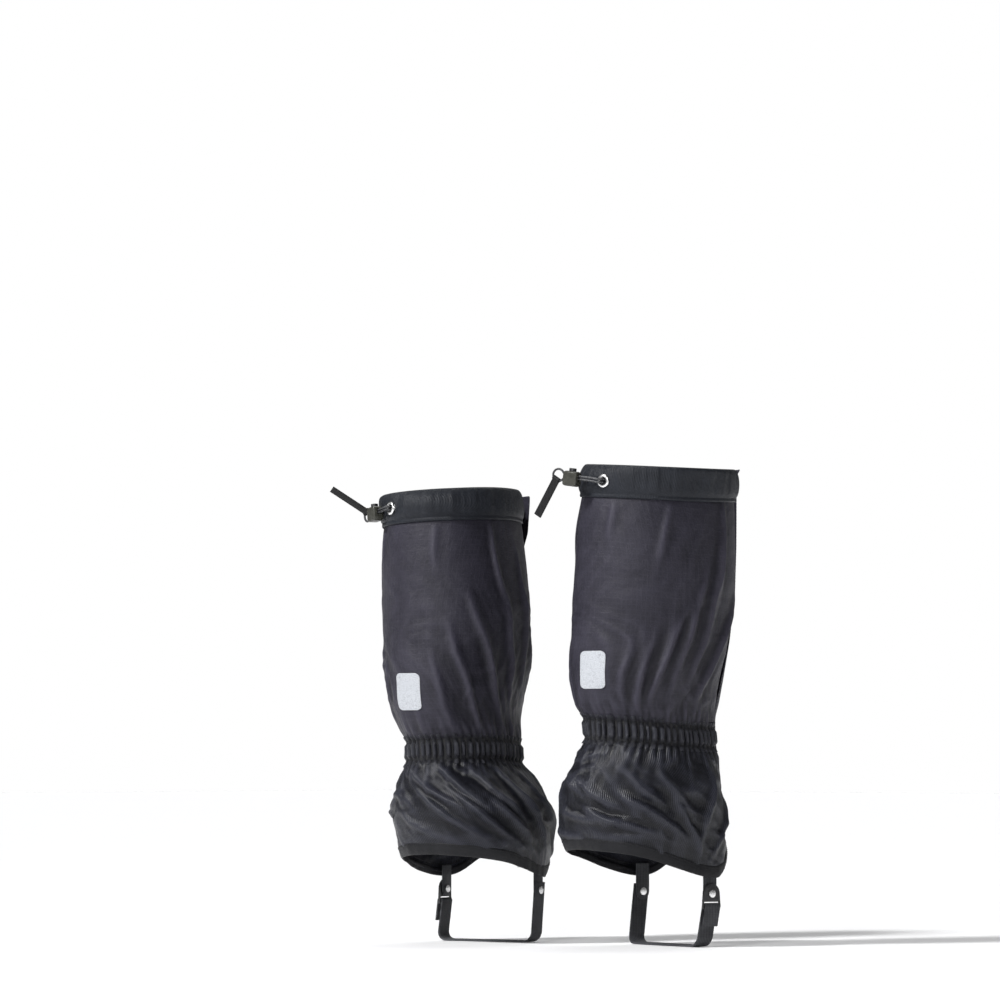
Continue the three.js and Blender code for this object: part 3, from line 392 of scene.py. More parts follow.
class Gaiter:
    """One gaiter's own frame: out of the leg, ahead and up, with angles from the front by the outside."""

    def __init__(self, side):
        self.side = side
        swing = joint(f"{side}_strap_swing")
        self.out = Vector(swing["axis"]) * (1 if side == "right" else -1)
        self.out.z = 0
        self.out.normalize()
        self.ahead = Vector((0, 0, 1)).cross(self.out) * (1 if side == "right" else -1)
        pivot = Vector(swing["pos_m"])
        origin = pivot - self.ahead * ANCHOR_AHEAD
        self.origin = Vector((origin.x, origin.y, 0))
        along_out = (pivot - self.origin).dot(self.out)
        self.origin += self.out * along_out
        self.origin.z = 0
        self.centres = self.read_centres()
        self.form = self.read_form(PANEL_NODES, 8)

    @property
    def mirrored(self):
        return self.side == "left"

    def world(self, x, y, z):
        return self.origin + self.out * x + self.ahead * y + Vector((0, 0, z))

    def local(self, point):
        offset = Vector(point) - self.origin
        return Vector((offset.dot(self.out), offset.dot(self.ahead), offset.z))

    def direction(self, angle):
        turn = math.radians(angle)
        return self.out * math.sin(turn) + self.ahead * math.cos(turn)

    def tree(self, names):
        points, faces, start = [], [], 0
        for name in names:
            p, f = mesh_arrays(f"{self.side}_{name}")
            points.append(p)
            faces.append(f + start)
            start += len(p)
        return BVHTree.FromPolygons(np.concatenate(points).tolist(), np.concatenate(faces).tolist())

    def read_centres(self):
        """The middle of the leg at each height, between what lies before and behind it, and beside it."""
        tree = self.tree(PANEL_NODES)
        rows = []
        for height in FORM_ROWS:
            start = self.world(0, 0, height)
            hits = [tree.ray_cast(start, self.direction(angle), 0.2)[3] for angle in (90, 270, -8, 180)]
            if None in hits:
                rows.append([np.nan, np.nan])
                continue
            outside, inside, front, back = hits
            rows.append([(outside - inside) / 2, (front - back) / 2])
        rows = np.array(rows)
        for k in range(2):
            known = ~np.isnan(rows[:, k])
            rows[:, k] = np.interp(FORM_ROWS, FORM_ROWS[known], rows[known, k])
        return smooth_rows(rows, 6, 0)

    def centre(self, height):
        return [float(np.interp(height, FORM_ROWS, self.centres[:, k])) for k in range(2)]

    def read_form(self, names, times, around=1):
        """A table of the distance from the centre line to the first surface, by height and angle."""
        tree = self.tree(names)
        table = np.full((len(FORM_ROWS), FORM_ANGLES), np.nan)
        for i, height in enumerate(FORM_ROWS):
            start = self.world(*self.centre(height), height)
            for k in range(FORM_ANGLES):
                hit = tree.ray_cast(start, self.direction(360 * k / FORM_ANGLES), 0.2)
                if hit[0] is not None:
                    table[i, k] = hit[3]
        columns = np.arange(FORM_ANGLES)
        for i, row in enumerate(table):
            known = np.where(~np.isnan(row))[0]
            if len(known) > 1:
                wrapped = np.concatenate([known - FORM_ANGLES, known, known + FORM_ANGLES])
                table[i] = np.interp(columns, wrapped, np.tile(row[known], 3))
        for k in columns:
            known = ~np.isnan(table[:, k])
            table[:, k] = np.interp(FORM_ROWS, FORM_ROWS[known], table[known, k])
        return smooth_rows(table, times, around)

    def radius(self, angle, height, table=None):
        table = self.form if table is None else table
        row = min(max((height - FORM_LOW) / FORM_STEP, 0), len(table) - 1.001)
        i = int(row)
        column = (angle % 360) / 360 * FORM_ANGLES
        k = int(column) % FORM_ANGLES
        u, v = row - i, column - int(column)
        near = table[i, k] * (1 - v) + table[i, (k + 1) % FORM_ANGLES] * v
        far = table[i + 1, k] * (1 - v) + table[i + 1, (k + 1) % FORM_ANGLES] * v
        return near * (1 - u) + far * u

    def flat_point(self, angle, height, table=None):
        middle = self.world(*self.centre(height), height)
        return middle + self.direction(angle) * self.radius(angle, height, table)

    def normal(self, angle, height, table=None):
        across = self.flat_point(angle + 2, height, table) - self.flat_point(angle - 2, height, table)
        normal = across.cross(Vector((0, 0, 1)))
        if normal.dot(self.direction(angle)) < 0:
            normal.negate()
        return normal.normalized()

    def on(self, angle, height, offset=0.0, table=None):
        """The point on the form at an angle and height, and a little way out along its level normal."""
        point = self.flat_point(angle, height, table)
        if offset:
            point += self.normal(angle, height, table) * offset
        return point

    def angle_of(self, point):
        """The angle, the distance from the centre line, and the height of a point."""
        x, y, z = self.local(point)
        cx, cy = self.centre(z)
        return math.degrees(math.atan2(x - cx, y - cy)) % 360, math.hypot(x - cx, y - cy), z

    def edge(self, node, top):
        """A function that gives the height of a node's upper or lower edge at an angle."""
        points, _ = mesh_arrays(f"{self.side}_{node}")
        places = [self.angle_of(point) for point in points]
        angles, heights = np.array([p[0] for p in places]), np.array([p[2] for p in places])
        sign = 1 if top else -1
        grid = np.arange(0, 360, EDGE_COLUMN)
        rough = np.full(len(grid), np.nan)
        for i, at in enumerate(grid):
            near = abs((angles - at + 180) % 360 - 180) < EDGE_REACH
            if near.any():
                rough[i] = sign * (sign * heights[near]).max()
        kept = {}
        for angle, height in zip(angles, heights):
            envelope = rough[int(round(angle / EDGE_COLUMN)) % len(grid)]
            if not np.isnan(envelope) and abs(height - envelope) < EDGE_STEP:
                kept.setdefault(round(angle / EDGE_COLUMN) * EDGE_COLUMN % 360, []).append(height)
        known = np.array(sorted(kept))
        values = np.array([sign * max(sign * h for h in kept[angle]) for angle in known])
        wrapped = np.concatenate([known - 360, known, known + 360])
        values = np.interp(grid, wrapped, np.tile(values, 3))
        for _ in range(5):
            values = 0.25 * np.roll(values, 1) + 0.5 * values + 0.25 * np.roll(values, -1)
        return lambda angle: float(np.interp(angle % 360, grid, values, period=360))


EDGE_COLUMN = 4  # degrees between the places where an edge is read
EDGE_REACH = 7  # degrees to each side within which an edge has at least one corner
EDGE_STEP = 9 * MM  # an edge's height changes by less than this between neighbouring columns
GAITERS = {side: Gaiter(side) for side in SIDES}
OPEN_FROM, OPEN_TO = 24.0, 336.0  # the panels run from the outer sewn edge round the back to the inner one


# ---- sheets --------------------------------------------------------------------------------------
def new_object(name, vertices, faces, finish, uv=None, smooth=True):
    mesh = bpy.data.meshes.new(name)
    mesh.from_pydata([tuple(v) for v in vertices], [], faces)
    if uv is not None:
        layer = mesh.uv_layers.new(name="cloth")
        indices = np.zeros(len(mesh.loops), int)
        mesh.loops.foreach_get("vertex_index", indices)
        layer.data.foreach_set("uv", np.asarray(uv)[indices].astype(np.float32).ravel())
    mesh.polygons.foreach_set("use_smooth", [smooth] * len(mesh.polygons))
    mesh.materials.append(FINISH[finish])
    piece = bpy.data.objects.new(name, mesh)
    bpy.context.scene.collection.objects.link(piece)
    return piece


def grid_faces(rows, columns, flip, close_rows=False):
    faces = []
    for i in range(rows if close_rows else rows - 1):
        for k in range(columns - 1):
            below, above = i * columns, ((i + 1) % rows) * columns
            quad = (below + k, below + k + 1, above + k + 1, above + k)
            faces.append(quad[::-1] if flip else quad)
    return faces


def cloth_lengths(points):
    """Lengths along the two ways of a grid of points, for its flat map."""
    across = np.zeros(points.shape[:2])
    along = np.zeros(points.shape[:2])
    across[:, 1:] = np.cumsum(np.linalg.norm(np.diff(points, axis=1), axis=2), axis=1)
    along[1:] = np.cumsum(np.linalg.norm(np.diff(points, axis=0), axis=2), axis=0)
    return np.stack([across, along], axis=2)


def sheet_object(name, points, finish, gaiter, close_rows=False, uv=None):
    """A grid of points, rows upwards and columns from the front by the outside, as a mesh."""
    rows, columns = points.shape[:2]
    # seen from outside, columns run against X for the right gaiter and with it for the left one
    faces = grid_faces(rows, columns, flip=not gaiter.mirrored, close_rows=close_rows)
    if uv is None:
        uv = cloth_lengths(points)
    return new_object(name, points.reshape(-1, 3), faces, finish, uv.reshape(-1, 2))


def mark_painted_fold_shading(piece, gaiter, points):
    """Keeps how far each point stands out of its surroundings, from about -1 in a hollow to 1 on a crest, for
    the cloth's painted shade in hollows and painted highlight on crests.
    """
    reach = np.array([[gaiter.angle_of(point)[1] for point in row] for row in points])
    even = reach.copy()
    for _ in range(RELIEF_ROUNDS):
        padded = np.pad(even, 1, mode="edge")
        even = (padded[:-2, 1:-1] + padded[2:, 1:-1] + padded[1:-1, :-2] + padded[1:-1, 2:]) / 4
    painted_fold_shading = np.clip((reach - even) / RELIEF_DEPTH, -1, 1)
    layer = piece.data.attributes.new(name="painted_fold_shading", type="FLOAT", domain="POINT")
    layer.data.foreach_set("value", painted_fold_shading.astype(np.float32).ravel())


RELIEF_ROUNDS, RELIEF_DEPTH = 14, 1.5 * MM


def select_only(piece):
    bpy.ops.object.select_all(action="DESELECT")
    piece.select_set(True)
    bpy.context.view_layer.objects.active = piece


def apply_modifier(piece, kind, name="finish", **settings):
    modifier = piece.modifiers.new(name, kind)
    for key, value in settings.items():
        setattr(modifier, key, value)
    select_only(piece)
    bpy.ops.object.modifier_apply(modifier=modifier.name)


def thicken(piece, thickness):
    """Rounds a sheet once and gives it its thickness inwards."""
    apply_modifier(piece, "SUBSURF", levels=1, render_levels=1)
    apply_modifier(piece, "SOLIDIFY", thickness=thickness, offset=-1.0, use_rim=True)


# ---- cloth simulation ----------------------------------------------------------------------------
SIM_SCALE = 10.0  # the cloth is simulated ten times as large, where the solver is steady
SIM_FRAMES = 26
CLEARANCE = 0.8 * MM


def leg_collider(gaiter):
    rows = np.arange(FORM_LOW, FORM_HIGH, 8 * MM)
    points = [gaiter.on(a, z, -1.0 * MM) * SIM_SCALE for z in rows for a in range(0, 360, 6)]
    faces = []
    for i in range(len(rows) - 1):
        for k in range(60):
            a, b = i * 60 + k, i * 60 + (k + 1) % 60
            quad = (a, b, b + 60, a + 60)
            faces.append(quad[::-1] if not gaiter.mirrored else quad)
    mesh = bpy.data.meshes.new("leg_form")
    mesh.from_pydata([tuple(p) for p in points], [], faces)
    leg = bpy.data.objects.new("leg_form", mesh)
    bpy.context.scene.collection.objects.link(leg)
    leg.modifiers.new("solid", "COLLISION")
    leg.collision.thickness_outer = 0.012
    leg.collision.thickness_inner = 0.1
    leg.collision.cloth_friction = 8
    return leg


def simulate(gaiter, points, rest, pinned, bending):
    """Drapes a pinned grid of points whose cloth was cut to the rest points, over the leg's form."""
    rows, columns = points.shape[:2]
    leg = leg_collider(gaiter)
    mesh = bpy.data.meshes.new("cloth")
    flat = points.reshape(-1, 3) * SIM_SCALE
    mesh.from_pydata([tuple(v) for v in flat], [], grid_faces(rows, columns, flip=not gaiter.mirrored))
    cloth = bpy.data.objects.new("cloth", mesh)
    bpy.context.scene.collection.objects.link(cloth)
    cloth.shape_key_add(name="basis")
    cut = cloth.shape_key_add(name="cut")
    cut.data.foreach_set("co", (rest.reshape(-1, 3) * SIM_SCALE).ravel())
    cut.value = 0
    group = cloth.vertex_groups.new(name="pins")
    for weight in np.unique(pinned):
        if weight > 0:
            group.add([int(i) for i in np.where(pinned.ravel() == weight)[0]], float(weight), "REPLACE")
    modifier = cloth.modifiers.new("cloth", "CLOTH")
    settings = modifier.settings
    settings.quality = 6
    settings.mass = 0.25
    settings.tension_stiffness = 25
    settings.compression_stiffness = 25
    settings.shear_stiffness = 8
    settings.bending_model = "ANGULAR"
    settings.bending_stiffness = bending
    settings.tension_damping = 8
    settings.compression_damping = 8
    settings.shear_damping = 8
    settings.bending_damping = 0.6
    settings.air_damping = 2
    settings.vertex_group_mass = "pins"
    settings.pin_stiffness = 6
    settings.rest_shape_key = cloth.data.shape_keys.key_blocks["cut"]
    settings.effector_weights.gravity = DRAPE_GRAVITY
    modifier.collision_settings.use_collision = True
    modifier.collision_settings.distance_min = 0.012
    modifier.collision_settings.collision_quality = 3
    modifier.collision_settings.use_self_collision = False
    modifier.point_cache.frame_start = 1
    modifier.point_cache.frame_end = SIM_FRAMES
    scene = bpy.context.scene
    for number in range(1, SIM_FRAMES + 1):
        scene.frame_set(number)
    shaped = cloth.evaluated_get(bpy.context.evaluated_depsgraph_get())
    result = np.zeros(len(flat) * 3)
    shaped.data.vertices.foreach_get("co", result)
    scene.frame_set(1)
    bpy.data.objects.remove(cloth)
    bpy.data.objects.remove(leg)
    return result.reshape(rows, columns, 3) / SIM_SCALE


def keep_outside(gaiter, points, most):
    """Keeps every point between the leg's form and a limit outside it."""
    for i in range(points.shape[0]):
        for k in range(points.shape[1]):
            angle, reach, z = gaiter.angle_of(points[i, k])
            form = gaiter.radius(angle, z)
            wanted = min(max(reach, form + CLEARANCE), form + most)
            if abs(wanted - reach) > 1e-6:
                points[i, k] = gaiter.world(*gaiter.centre(z), z) + gaiter.direction(angle) * wanted
    return points


# ---- the two simulated panels --------------------------------------------------------------------
TUCK = 4 * MM  # how far a panel's edge runs on inside the band that it is sewn to

# Folds that the panels start with: angle, height, slope in degrees from level, length, width, depth.
# A positive slope rises towards larger angles.
FOLDS = {
    "right_calf_panel": [
        (215, 268, 74, 90, 9, 4), (238, 300, 80, 120, 10, 4.5), (255, 262, 66, 70, 8, 4.5),
        (200, 262, 82, 60, 8, 3), (146, 262, 98, 60, 8, 3.5),
        (132, 262, 106, 60, 8, 4), (112, 280, 112, 90, 10, 5), (92, 300, 104, 130, 11, 4.5),
        (70, 330, 98, 130, 11, 4.5), (50, 290, 112, 100, 10, 5), (60, 390, 96, 80, 9, 3.5),
        (120, 400, 100, 60, 9, 2.5), (160, 418, 90, 40, 7, 2.5), (210, 412, 84, 45, 8, 2.5),
        (270, 330, 86, 140, 12, 4), (300, 300, 80, 120, 10, 4),
    ],
    "right_boot_skirt": [
        (218, 158, 30, 46, 14, 3), (186, 160, 26, 44, 9, 5), (160, 150, 30, 52, 9, 6),
        (176, 128, 14, 50, 10, 4.5), (146, 124, 22, 54, 9, 5.5), (128, 158, 38, 46, 8, 6),
        (118, 130, 34, 54, 9, 6), (100, 152, 48, 44, 8, 5.5), (88, 118, 62, 52, 9, 6),
        (66, 140, 112, 60, 9, 5.5), (45, 120, 124, 56, 8, 5), (250, 150, -20, 60, 9, 4),
        (280, 130, -40, 60, 8, 5), (310, 140, -50, 60, 8, 4.5), (200, 110, 10, 50, 9, 3),
    ],
    "left_calf_panel": [
        (146, 250, 82, 60, 8, 3.5), (202, 250, 100, 60, 8, 3.5),
        (222, 262, 108, 90, 9, 4.5), (245, 280, 112, 110, 10, 5), (268, 300, 104, 130, 11, 4.5),
        (290, 320, 98, 140, 11, 4.5), (312, 280, 112, 100, 10, 5), (130, 260, 72, 70, 8, 3.5),
        (105, 280, 70, 100, 10, 4), (80, 300, 76, 120, 11, 4), (52, 290, 80, 100, 10, 4.5),
        (250, 390, 98, 70, 9, 3), (200, 396, 92, 50, 8, 2.5), (150, 398, 86, 45, 8, 2.5),
    ],
    "left_boot_skirt": [
        (148, 150, -30, 40, 14, 2.5), (170, 118, -28, 46, 10, 3.5), (184, 156, -38, 50, 8, 6),
        (196, 128, -40, 56, 8, 6), (208, 158, -44, 52, 7, 6), (220, 130, -44, 56, 7, 6.5),
        (236, 152, -46, 52, 7, 6.5), (248, 122, -46, 52, 8, 6), (262, 148, -50, 54, 8, 6.5),
        (276, 118, -52, 50, 8, 5.5), (290, 145, -58, 60, 9, 5.5),
        (306, 120, -62, 70, 8, 5), (322, 150, -66, 70, 8, 5), (120, 130, 30, 80, 8, 5),
        (95, 140, 48, 80, 8, 5), (65, 130, 56, 80, 8, 5), (45, 140, 60, 60, 8, 5),
    ],
}
SKIRT_RADIUS = 70 * MM  # a usual distance from the centre line, to measure folds along the cloth


def fold_height(folds, angle, height, sharp=False):
    """How far a panel's folds lift it at an angle and height: the sum of long narrow ridges."""
    total = 0.0
    for at, middle, slope, length, width, depth in folds:
        across = math.radians(angle - at) * SKIRT_RADIUS
        up = height - middle * MM
        turn = math.radians(slope)
        along = across * math.cos(turn) + up * math.sin(turn)
        aside = -across * math.sin(turn) + up * math.cos(turn)
        aside += 0.1 * width * MM * math.sin(along / (11 * MM) + at)
        if abs(aside) < 3 * width * MM and abs(along) < length * MM:
            away = abs(aside) / (width * MM)
            ridge = math.exp(-away / 0.22) if sharp else math.exp(-((away / 0.5) ** 2))
            total += depth * MM * ridge * math.cos(math.pi / 2 * along / (length * MM)) ** 2
    return total


# The small wrinkles between the folds, in two sets that cross: slope in degrees, then length, width and depth.
CRUMPLES = {
    "right_calf_panel": [(72, 60, 17, 1.7), (112, 46, 13, 1.0)],
    "left_calf_panel": [(104, 60, 16, 1.7), (68, 46, 13, 1.0)],
    "right_boot_skirt": [(24, 40, 15, 3.0), (66, 30, 11, 1.7)],
    "left_boot_skirt": [(-42, 52, 12, 3.0), (-8, 30, 11, 1.6)],
}
CALM_HEIGHT = 330 * MM  # a calf panel is smoother above this


def crumple_height(name, angle, height):
    """Narrow crests between shallow hollows, as thin stiff cloth takes when it is bunched."""
    across = math.radians(angle) * SKIRT_RADIUS
    total = 0.0
    for number, (slope, length, width, depth) in enumerate(CRUMPLES[name]):
        turn = math.radians(slope + 14 * noise.noise(Vector((across / 0.07, height / 0.07, number + 3.3))))
        along = across * math.cos(turn) + height * math.sin(turn)
        aside = -across * math.sin(turn) + height * math.cos(turn)
        value = noise.noise(Vector((along / (length * MM), aside / (width * MM), number * 7.7 + len(name))))
        patch = 0.65 + 0.5 * noise.noise(Vector((across / 0.05, height / 0.05, number + 11.1)))
        total += depth * MM * patch * max(0.0, 1 - 2.6 * abs(value)) ** 1.5
    if name.endswith("calf_panel"):
        total *= 0.35 + 0.65 / (1 + math.exp((height - CALM_HEIGHT) / (22 * MM)))
    return total


def pucker_height(marks, angle, from_band):
    """Short upright puckers that run out of the gathered casing."""
    up, number = pleat(marks, angle)
    length = PUCKER_LENGTH * (1 + 0.6 * wave(number * 2.7, 9))
    return PUCKER_HEIGHT * up * math.exp(-((from_band / length) ** 2))


PUCKER_LENGTH, PUCKER_HEIGHT = 17 * MM, 2.6 * MM
PUCKER_CREASE = 0.35  # the share of a pucker's height that is raised again after the cloth is draped
PLEAT = 6.6 * MM


def pleat_marks(gaiter):
    """Angles of the valleys between the casing's pleats, unevenly spaced as gathers are."""
    marks = [OPEN_FROM]
    height = gaiter.ankle_middle(180)
    seed = 3 if gaiter.mirrored else 8
    while marks[-1] < OPEN_TO:
        step = PLEAT * (1 + 0.32 * wave(len(marks) * 2.3, seed))
        marks.append(marks[-1] + math.degrees(step / gaiter.radius(marks[-1], height)))
    scale = (OPEN_TO - OPEN_FROM) / (marks[-1] - OPEN_FROM)
    return [OPEN_FROM + (mark - OPEN_FROM) * scale for mark in marks]


def pleat(marks, angle):
    """How high a pleat stands at an angle, from 0 in a valley to 1 on a ridge, and its number."""
    i = min(max(int(np.searchsorted(marks, angle)) - 1, 0), len(marks) - 2)
    share = (angle - marks[i]) / (marks[i + 1] - marks[i])
    return abs(math.sin(math.pi * min(max(share, 0), 1))) ** 0.75, i


def panel_grid(gaiter, name, bottom, top, step):
    """A panel's starting points from its bottom seam to its top one, what is sewn, and its creases."""
    folds = FOLDS[f"{gaiter.side}_{name}"]
    middle = (bottom(180) + top(180)) / 2
    lap = SKIRT_LAP if name == "boot_skirt" else 0.0
    around = math.radians(OPEN_TO - OPEN_FROM) * gaiter.radius(180, middle)
    columns = int(around / step)
    rows = int((top(180) - bottom(180)) / step)
    angles = np.linspace(OPEN_FROM - lap, OPEN_TO + lap, columns)
    points = np.zeros((rows, columns, 3))
    pinned = np.zeros((rows, columns))
    creases = np.zeros((rows, columns))
    marks = pleat_marks(gaiter)
    gathered_below = name == "calf_panel"
    for i in range(rows):
        for k, angle in enumerate(angles):
            height = bottom(angle) + (top(angle) - bottom(angle)) * i / (rows - 1)
            edge = min(i, rows - 1 - i, 4) / 4 * min(k, columns - 1 - k, 4) / 4
            from_band = height - bottom(angle) if gathered_below else top(angle) - height
            pucker = pucker_height(marks, angle, from_band)
            offset = PANEL_OFFSET + fold_height(folds, angle, height) * edge + pucker * min(edge * 4, 1)
            crisp = fold_height(folds, angle, height, sharp=True) * CREASE
            wrinkle = crumple_height(f"{gaiter.side}_{name}", angle, height)
            creases[i, k] = (crisp + PUCKER_CREASE * pucker + wrinkle) * edge
            points[i, k] = gaiter.on(angle, height, offset)
    pinned[:2] = pinned[-2:] = 1
    pinned[:, :2] = pinned[:, -2:] = 1
    return points, pinned, creases


SKIRT_LAP = 2.2  # degrees by which the skirt and its hem run on under the flap and over the placket's edge
CREASE = 0.34  # the share of a fold's depth that stays as a sharp crease


def cut_larger(gaiter, points, wider_below, wider_above, taller):
    """The same grid as it was cut: wider round the leg and taller than the space that it fills."""
    rows = points.shape[0]
    rest = points.copy()
    for i in range(rows):
        wider = wider_below + (wider_above - wider_below) * i / (rows - 1)
        middle = points[i].mean(axis=0)
        rest[i] = middle + (points[i] - middle) * wider
    low = points[:, :, 2].min()
    rest[:, :, 2] = low + (rest[:, :, 2] - low) * taller
    return rest


PANEL_OFFSET = 0.9 * MM
PANEL_CUT = {
    "calf_panel": dict(wider_below=1.12, wider_above=1.04, taller=1.05, bending=0.12, step=3.0 * MM),
    "boot_skirt": dict(wider_below=1.04, wider_above=1.12, taller=1.12, bending=0.08, step=2.6 * MM),
}
MOST_SLACK = 10 * MM  # how far the draped cloth may stand off the leg's form
DRAPE_GRAVITY = 0.25  # a share of full weight, because the sewn cloth is light and stiff
CLOTH_THICKNESS = 0.45 * MM


def raise_creases(gaiter, points, creases):
    """Lifts the sharp part of each fold out of the draped cloth."""
    for i, k in np.ndindex(creases.shape):
        if creases[i, k] > 0:
            angle, _, _ = gaiter.angle_of(points[i, k])
            points[i, k] += np.array(gaiter.direction(angle)) * creases[i, k]
    return points


def panel(gaiter, name, bottom, top, slot):
    cut = PANEL_CUT[name]
    points, pinned, creases = panel_grid(gaiter, name, bottom, top, cut["step"])
    rest = cut_larger(gaiter, points, cut["wider_below"], cut["wider_above"], cut["taller"])
    shaped = simulate(gaiter, points, rest, pinned, cut["bending"])
    shaped = keep_outside(gaiter, shaped, MOST_SLACK)
    shaped = raise_creases(gaiter, shaped, creases)
    piece = sheet_object(f"{gaiter.side}_{name}_cloth", shaped, slot, gaiter, uv=cloth_lengths(rest))
    mark_painted_fold_shading(piece, gaiter, shaped)
    thicken(piece, CLOTH_THICKNESS)
    return piece


# ---- sheets laid over the form -------------------------------------------------------------------
def wave(position, seed):
    """A smooth wandering value from about -1 to 1, the same each time."""
    turns = ((0.9, 1.0), (1.7, 0.6), (3.1, 0.4))
    return sum(size * math.sin(position * turn + seed * (2.1 + turn)) for turn, size in turns) / 1.5


def band_grid(gaiter, angles, section, table=None):
    """Points of a band: for each angle, its cross-section as (height, offset) pairs."""
    rows = len(section(angles[0]))
    points = np.zeros((rows, len(angles), 3))
    for k, angle in enumerate(angles):
        for i, (height, offset) in enumerate(section(angle)):
            points[i, k] = gaiter.on(angle, height, offset, table)
    return points


def ankle_casing(gaiter):
    """The gathered casing: pleats pinched at a stitch line near each edge."""
    marks = pleat_marks(gaiter)
    angles = np.arange(OPEN_FROM, OPEN_TO + 0.01, 0.7)
    steps = 15

    def section(angle):
        low, high = gaiter.ankle_low(angle), gaiter.ankle_high(angle)
        up, number = pleat(marks, angle)
        size = 1 + 0.25 * wave(number * 1.9, 4)
        rows = []
        for i in range(steps):
            t = i / (steps - 1)
            seam = min(abs(t - 0.16), abs(t - 0.84)) / 0.12
            swell = 0.45 + 0.55 * min(seam, 1) ** 1.5
            belly = 0.8 + 0.35 * math.sin(math.pi * t)
            offset = (0.3 + 5.3 * size * up * swell * belly) * MM
            lean = 0.7 * MM * wave(number * 3.1 + t * 3, 2)
            edge = 1.2 * MM * up * (1 if t > 0.5 else -1) * max(0, abs(t - 0.5) * 2 - 0.7) / 0.3
            rows.append((low + (high - low) * t + edge + lean * min(t, 1 - t), min(offset, 6.2 * MM)))
        return rows

    points = band_grid(gaiter, angles, section)
    sew(gaiter, "casing", points, (2, 12), 2.6 * MM)
    piece = sheet_object(f"{gaiter.side}_ankle_casing_cloth", points, "casing_cloth", gaiter)
    mark_painted_fold_shading(piece, gaiter, points)
    thicken(piece, 0.6 * MM)
    return piece


def cuff_section(gaiter, angle, fold):
    """The cuff's cloth: up the inside, over the top, down the outside and under at the stitch line."""
    low, high = gaiter.cuff_low(angle), gaiter.cuff_high(angle)
    height = high - low
    return [(low + height * t, (d + fold * max(0, d - 2.5)) * MM) for t, d in CUFF_SECTION]


# share of the cuff's height, and mm out of the form
CUFF_SECTION = [
    (0.03, 0.5), (0.3, 0.5), (0.6, 0.5), (0.88, 0.6), (0.975, 1.3), (1.0, 2.5), (0.985, 3.9), (0.93, 5.1),
    (0.8, 5.7), (0.6, 5.9), (0.42, 5.7), (0.29, 5.1), (0.2, 4.1), (0.15, 3.1), (0.12, 2.5), (0.09, 2.6),
    (0.04, 2.8), (0.0, 2.2), (0.03, 1.4),
]
CUFF_SEAM_ROW = 14


def top_cuff(gaiter):
    """The drawcord's casing: soft upright folds, gathered where the cord comes out."""
    angles = np.arange(OPEN_FROM, OPEN_TO + 0.01, 0.9)
    seed = 5 if gaiter.mirrored else 1

    def section(angle):
        near = math.exp(-(((angle - gaiter.eyelet_angle) / 34) ** 2))
        fine = wave(angle * 0.42, seed) * (0.1 + 0.14 * near)
        wide = wave(angle * 0.13, seed + 3) * 0.1
        return cuff_section(gaiter, angle, fine + wide - 0.06)

    points = band_grid(gaiter, angles, section)
    sew(gaiter, "cuff", points, (CUFF_SEAM_ROW,), 3.0 * MM)
    piece = sheet_object(f"{gaiter.side}_top_cuff_cloth", points, "cuff_cloth", gaiter)
    open_hole(piece, gaiter.eyelet_place, 4.6 * MM, outwards=gaiter.eyelet_out)
    thicken(piece, 0.6 * MM)
    return piece


def open_hole(piece, place, radius, outwards):
    """Takes out the faces round a place, on the wall that faces outwards."""
    mesh = bmesh.new()
    mesh.from_mesh(piece.data)
    doomed = []
    for face in mesh.faces:
        offset = face.calc_center_median() - place
        depth = offset.dot(outwards)
        if (offset - outwards * depth).length < radius and abs(depth) < 3.5 * MM:
            doomed.append(face)
    bmesh.ops.delete(mesh, geom=doomed, context="FACES")
    mesh.to_mesh(piece.data)
    mesh.free()


HEM_HEIGHT = 12 * MM
HEM_SECTION = [
    (1.0, 1.0), (1.02, 2.1), (0.93, 2.9), (0.84, 2.6), (0.76, 2.8), (0.5, 3.1), (0.2, 3.0), (0.04, 2.5),
    (0.0, 1.7), (0.05, 0.9), (0.3, 0.6), (0.7, 0.6),
]
HEM_SEAM_ROW = 8


def hem_band(gaiter):
    """The bottom binding, folded over the skirt's edge."""
    angles = np.linspace(OPEN_FROM - SKIRT_LAP, OPEN_TO + SKIRT_LAP, 212)
    def section(angle):
        low = gaiter.hem_low(angle)
        wavy = 0.5 * MM * wave(angle * 0.21, 7)
        return [(low + HEM_HEIGHT * t, d * MM + wavy) for t, d in HEM_SECTION]

    points = band_grid(gaiter, angles, section)[::-1]
    sew(gaiter, "hem", points, (HEM_SEAM_ROW,), 3.0 * MM)
    piece = sheet_object(f"{gaiter.side}_hem_band_cloth", points, "binding", gaiter)
    thicken(piece, 0.5 * MM)
    return piece


def front_strip(gaiter, name, finish, angles, bottom, top, table, offset, folds, thickness):
    """One layer of the front closure, from its bottom edge to its top one."""
    rows = int((top(0) - bottom(0)) / (4 * MM))
    points = np.zeros((rows, len(angles), 3))
    for k, angle in enumerate(angles):
        for i in range(rows):
            height = bottom(angle) + (top(angle) - bottom(angle)) * i / (rows - 1)
            points[i, k] = gaiter.on(angle, height, offset + folds(angle, height), table)
    piece = sheet_object(f"{gaiter.side}_{name}_cloth", points, finish, gaiter)
    thicken(piece, thickness)
    return piece, points


def flat(angle, height):
    """No folds."""
    return 0


def flap_folds(angle, height, corner):
    """Puckers that fade towards the hinge, folds at the casing, and an upper corner that stands off."""
    free = min(max((23 - angle) / 20, 0), 1)
    standing = corner * free**3 * min(max((height - FLAP_TURN) / (30 * MM), 0), 1)
    upright = wave(angle * 0.16 + height * 9, 6) * 0.8 * MM
    level = abs(wave(height * 110 + angle * 0.05, 2)) * 0.9 * MM * math.exp(-(((height - 0.21) / 0.05) ** 2))
    return max(upright, -0.4 * MM) * free + level * free + standing


FLAP_TURN = 385 * MM  # above this the left flap's free corner stands off the leg


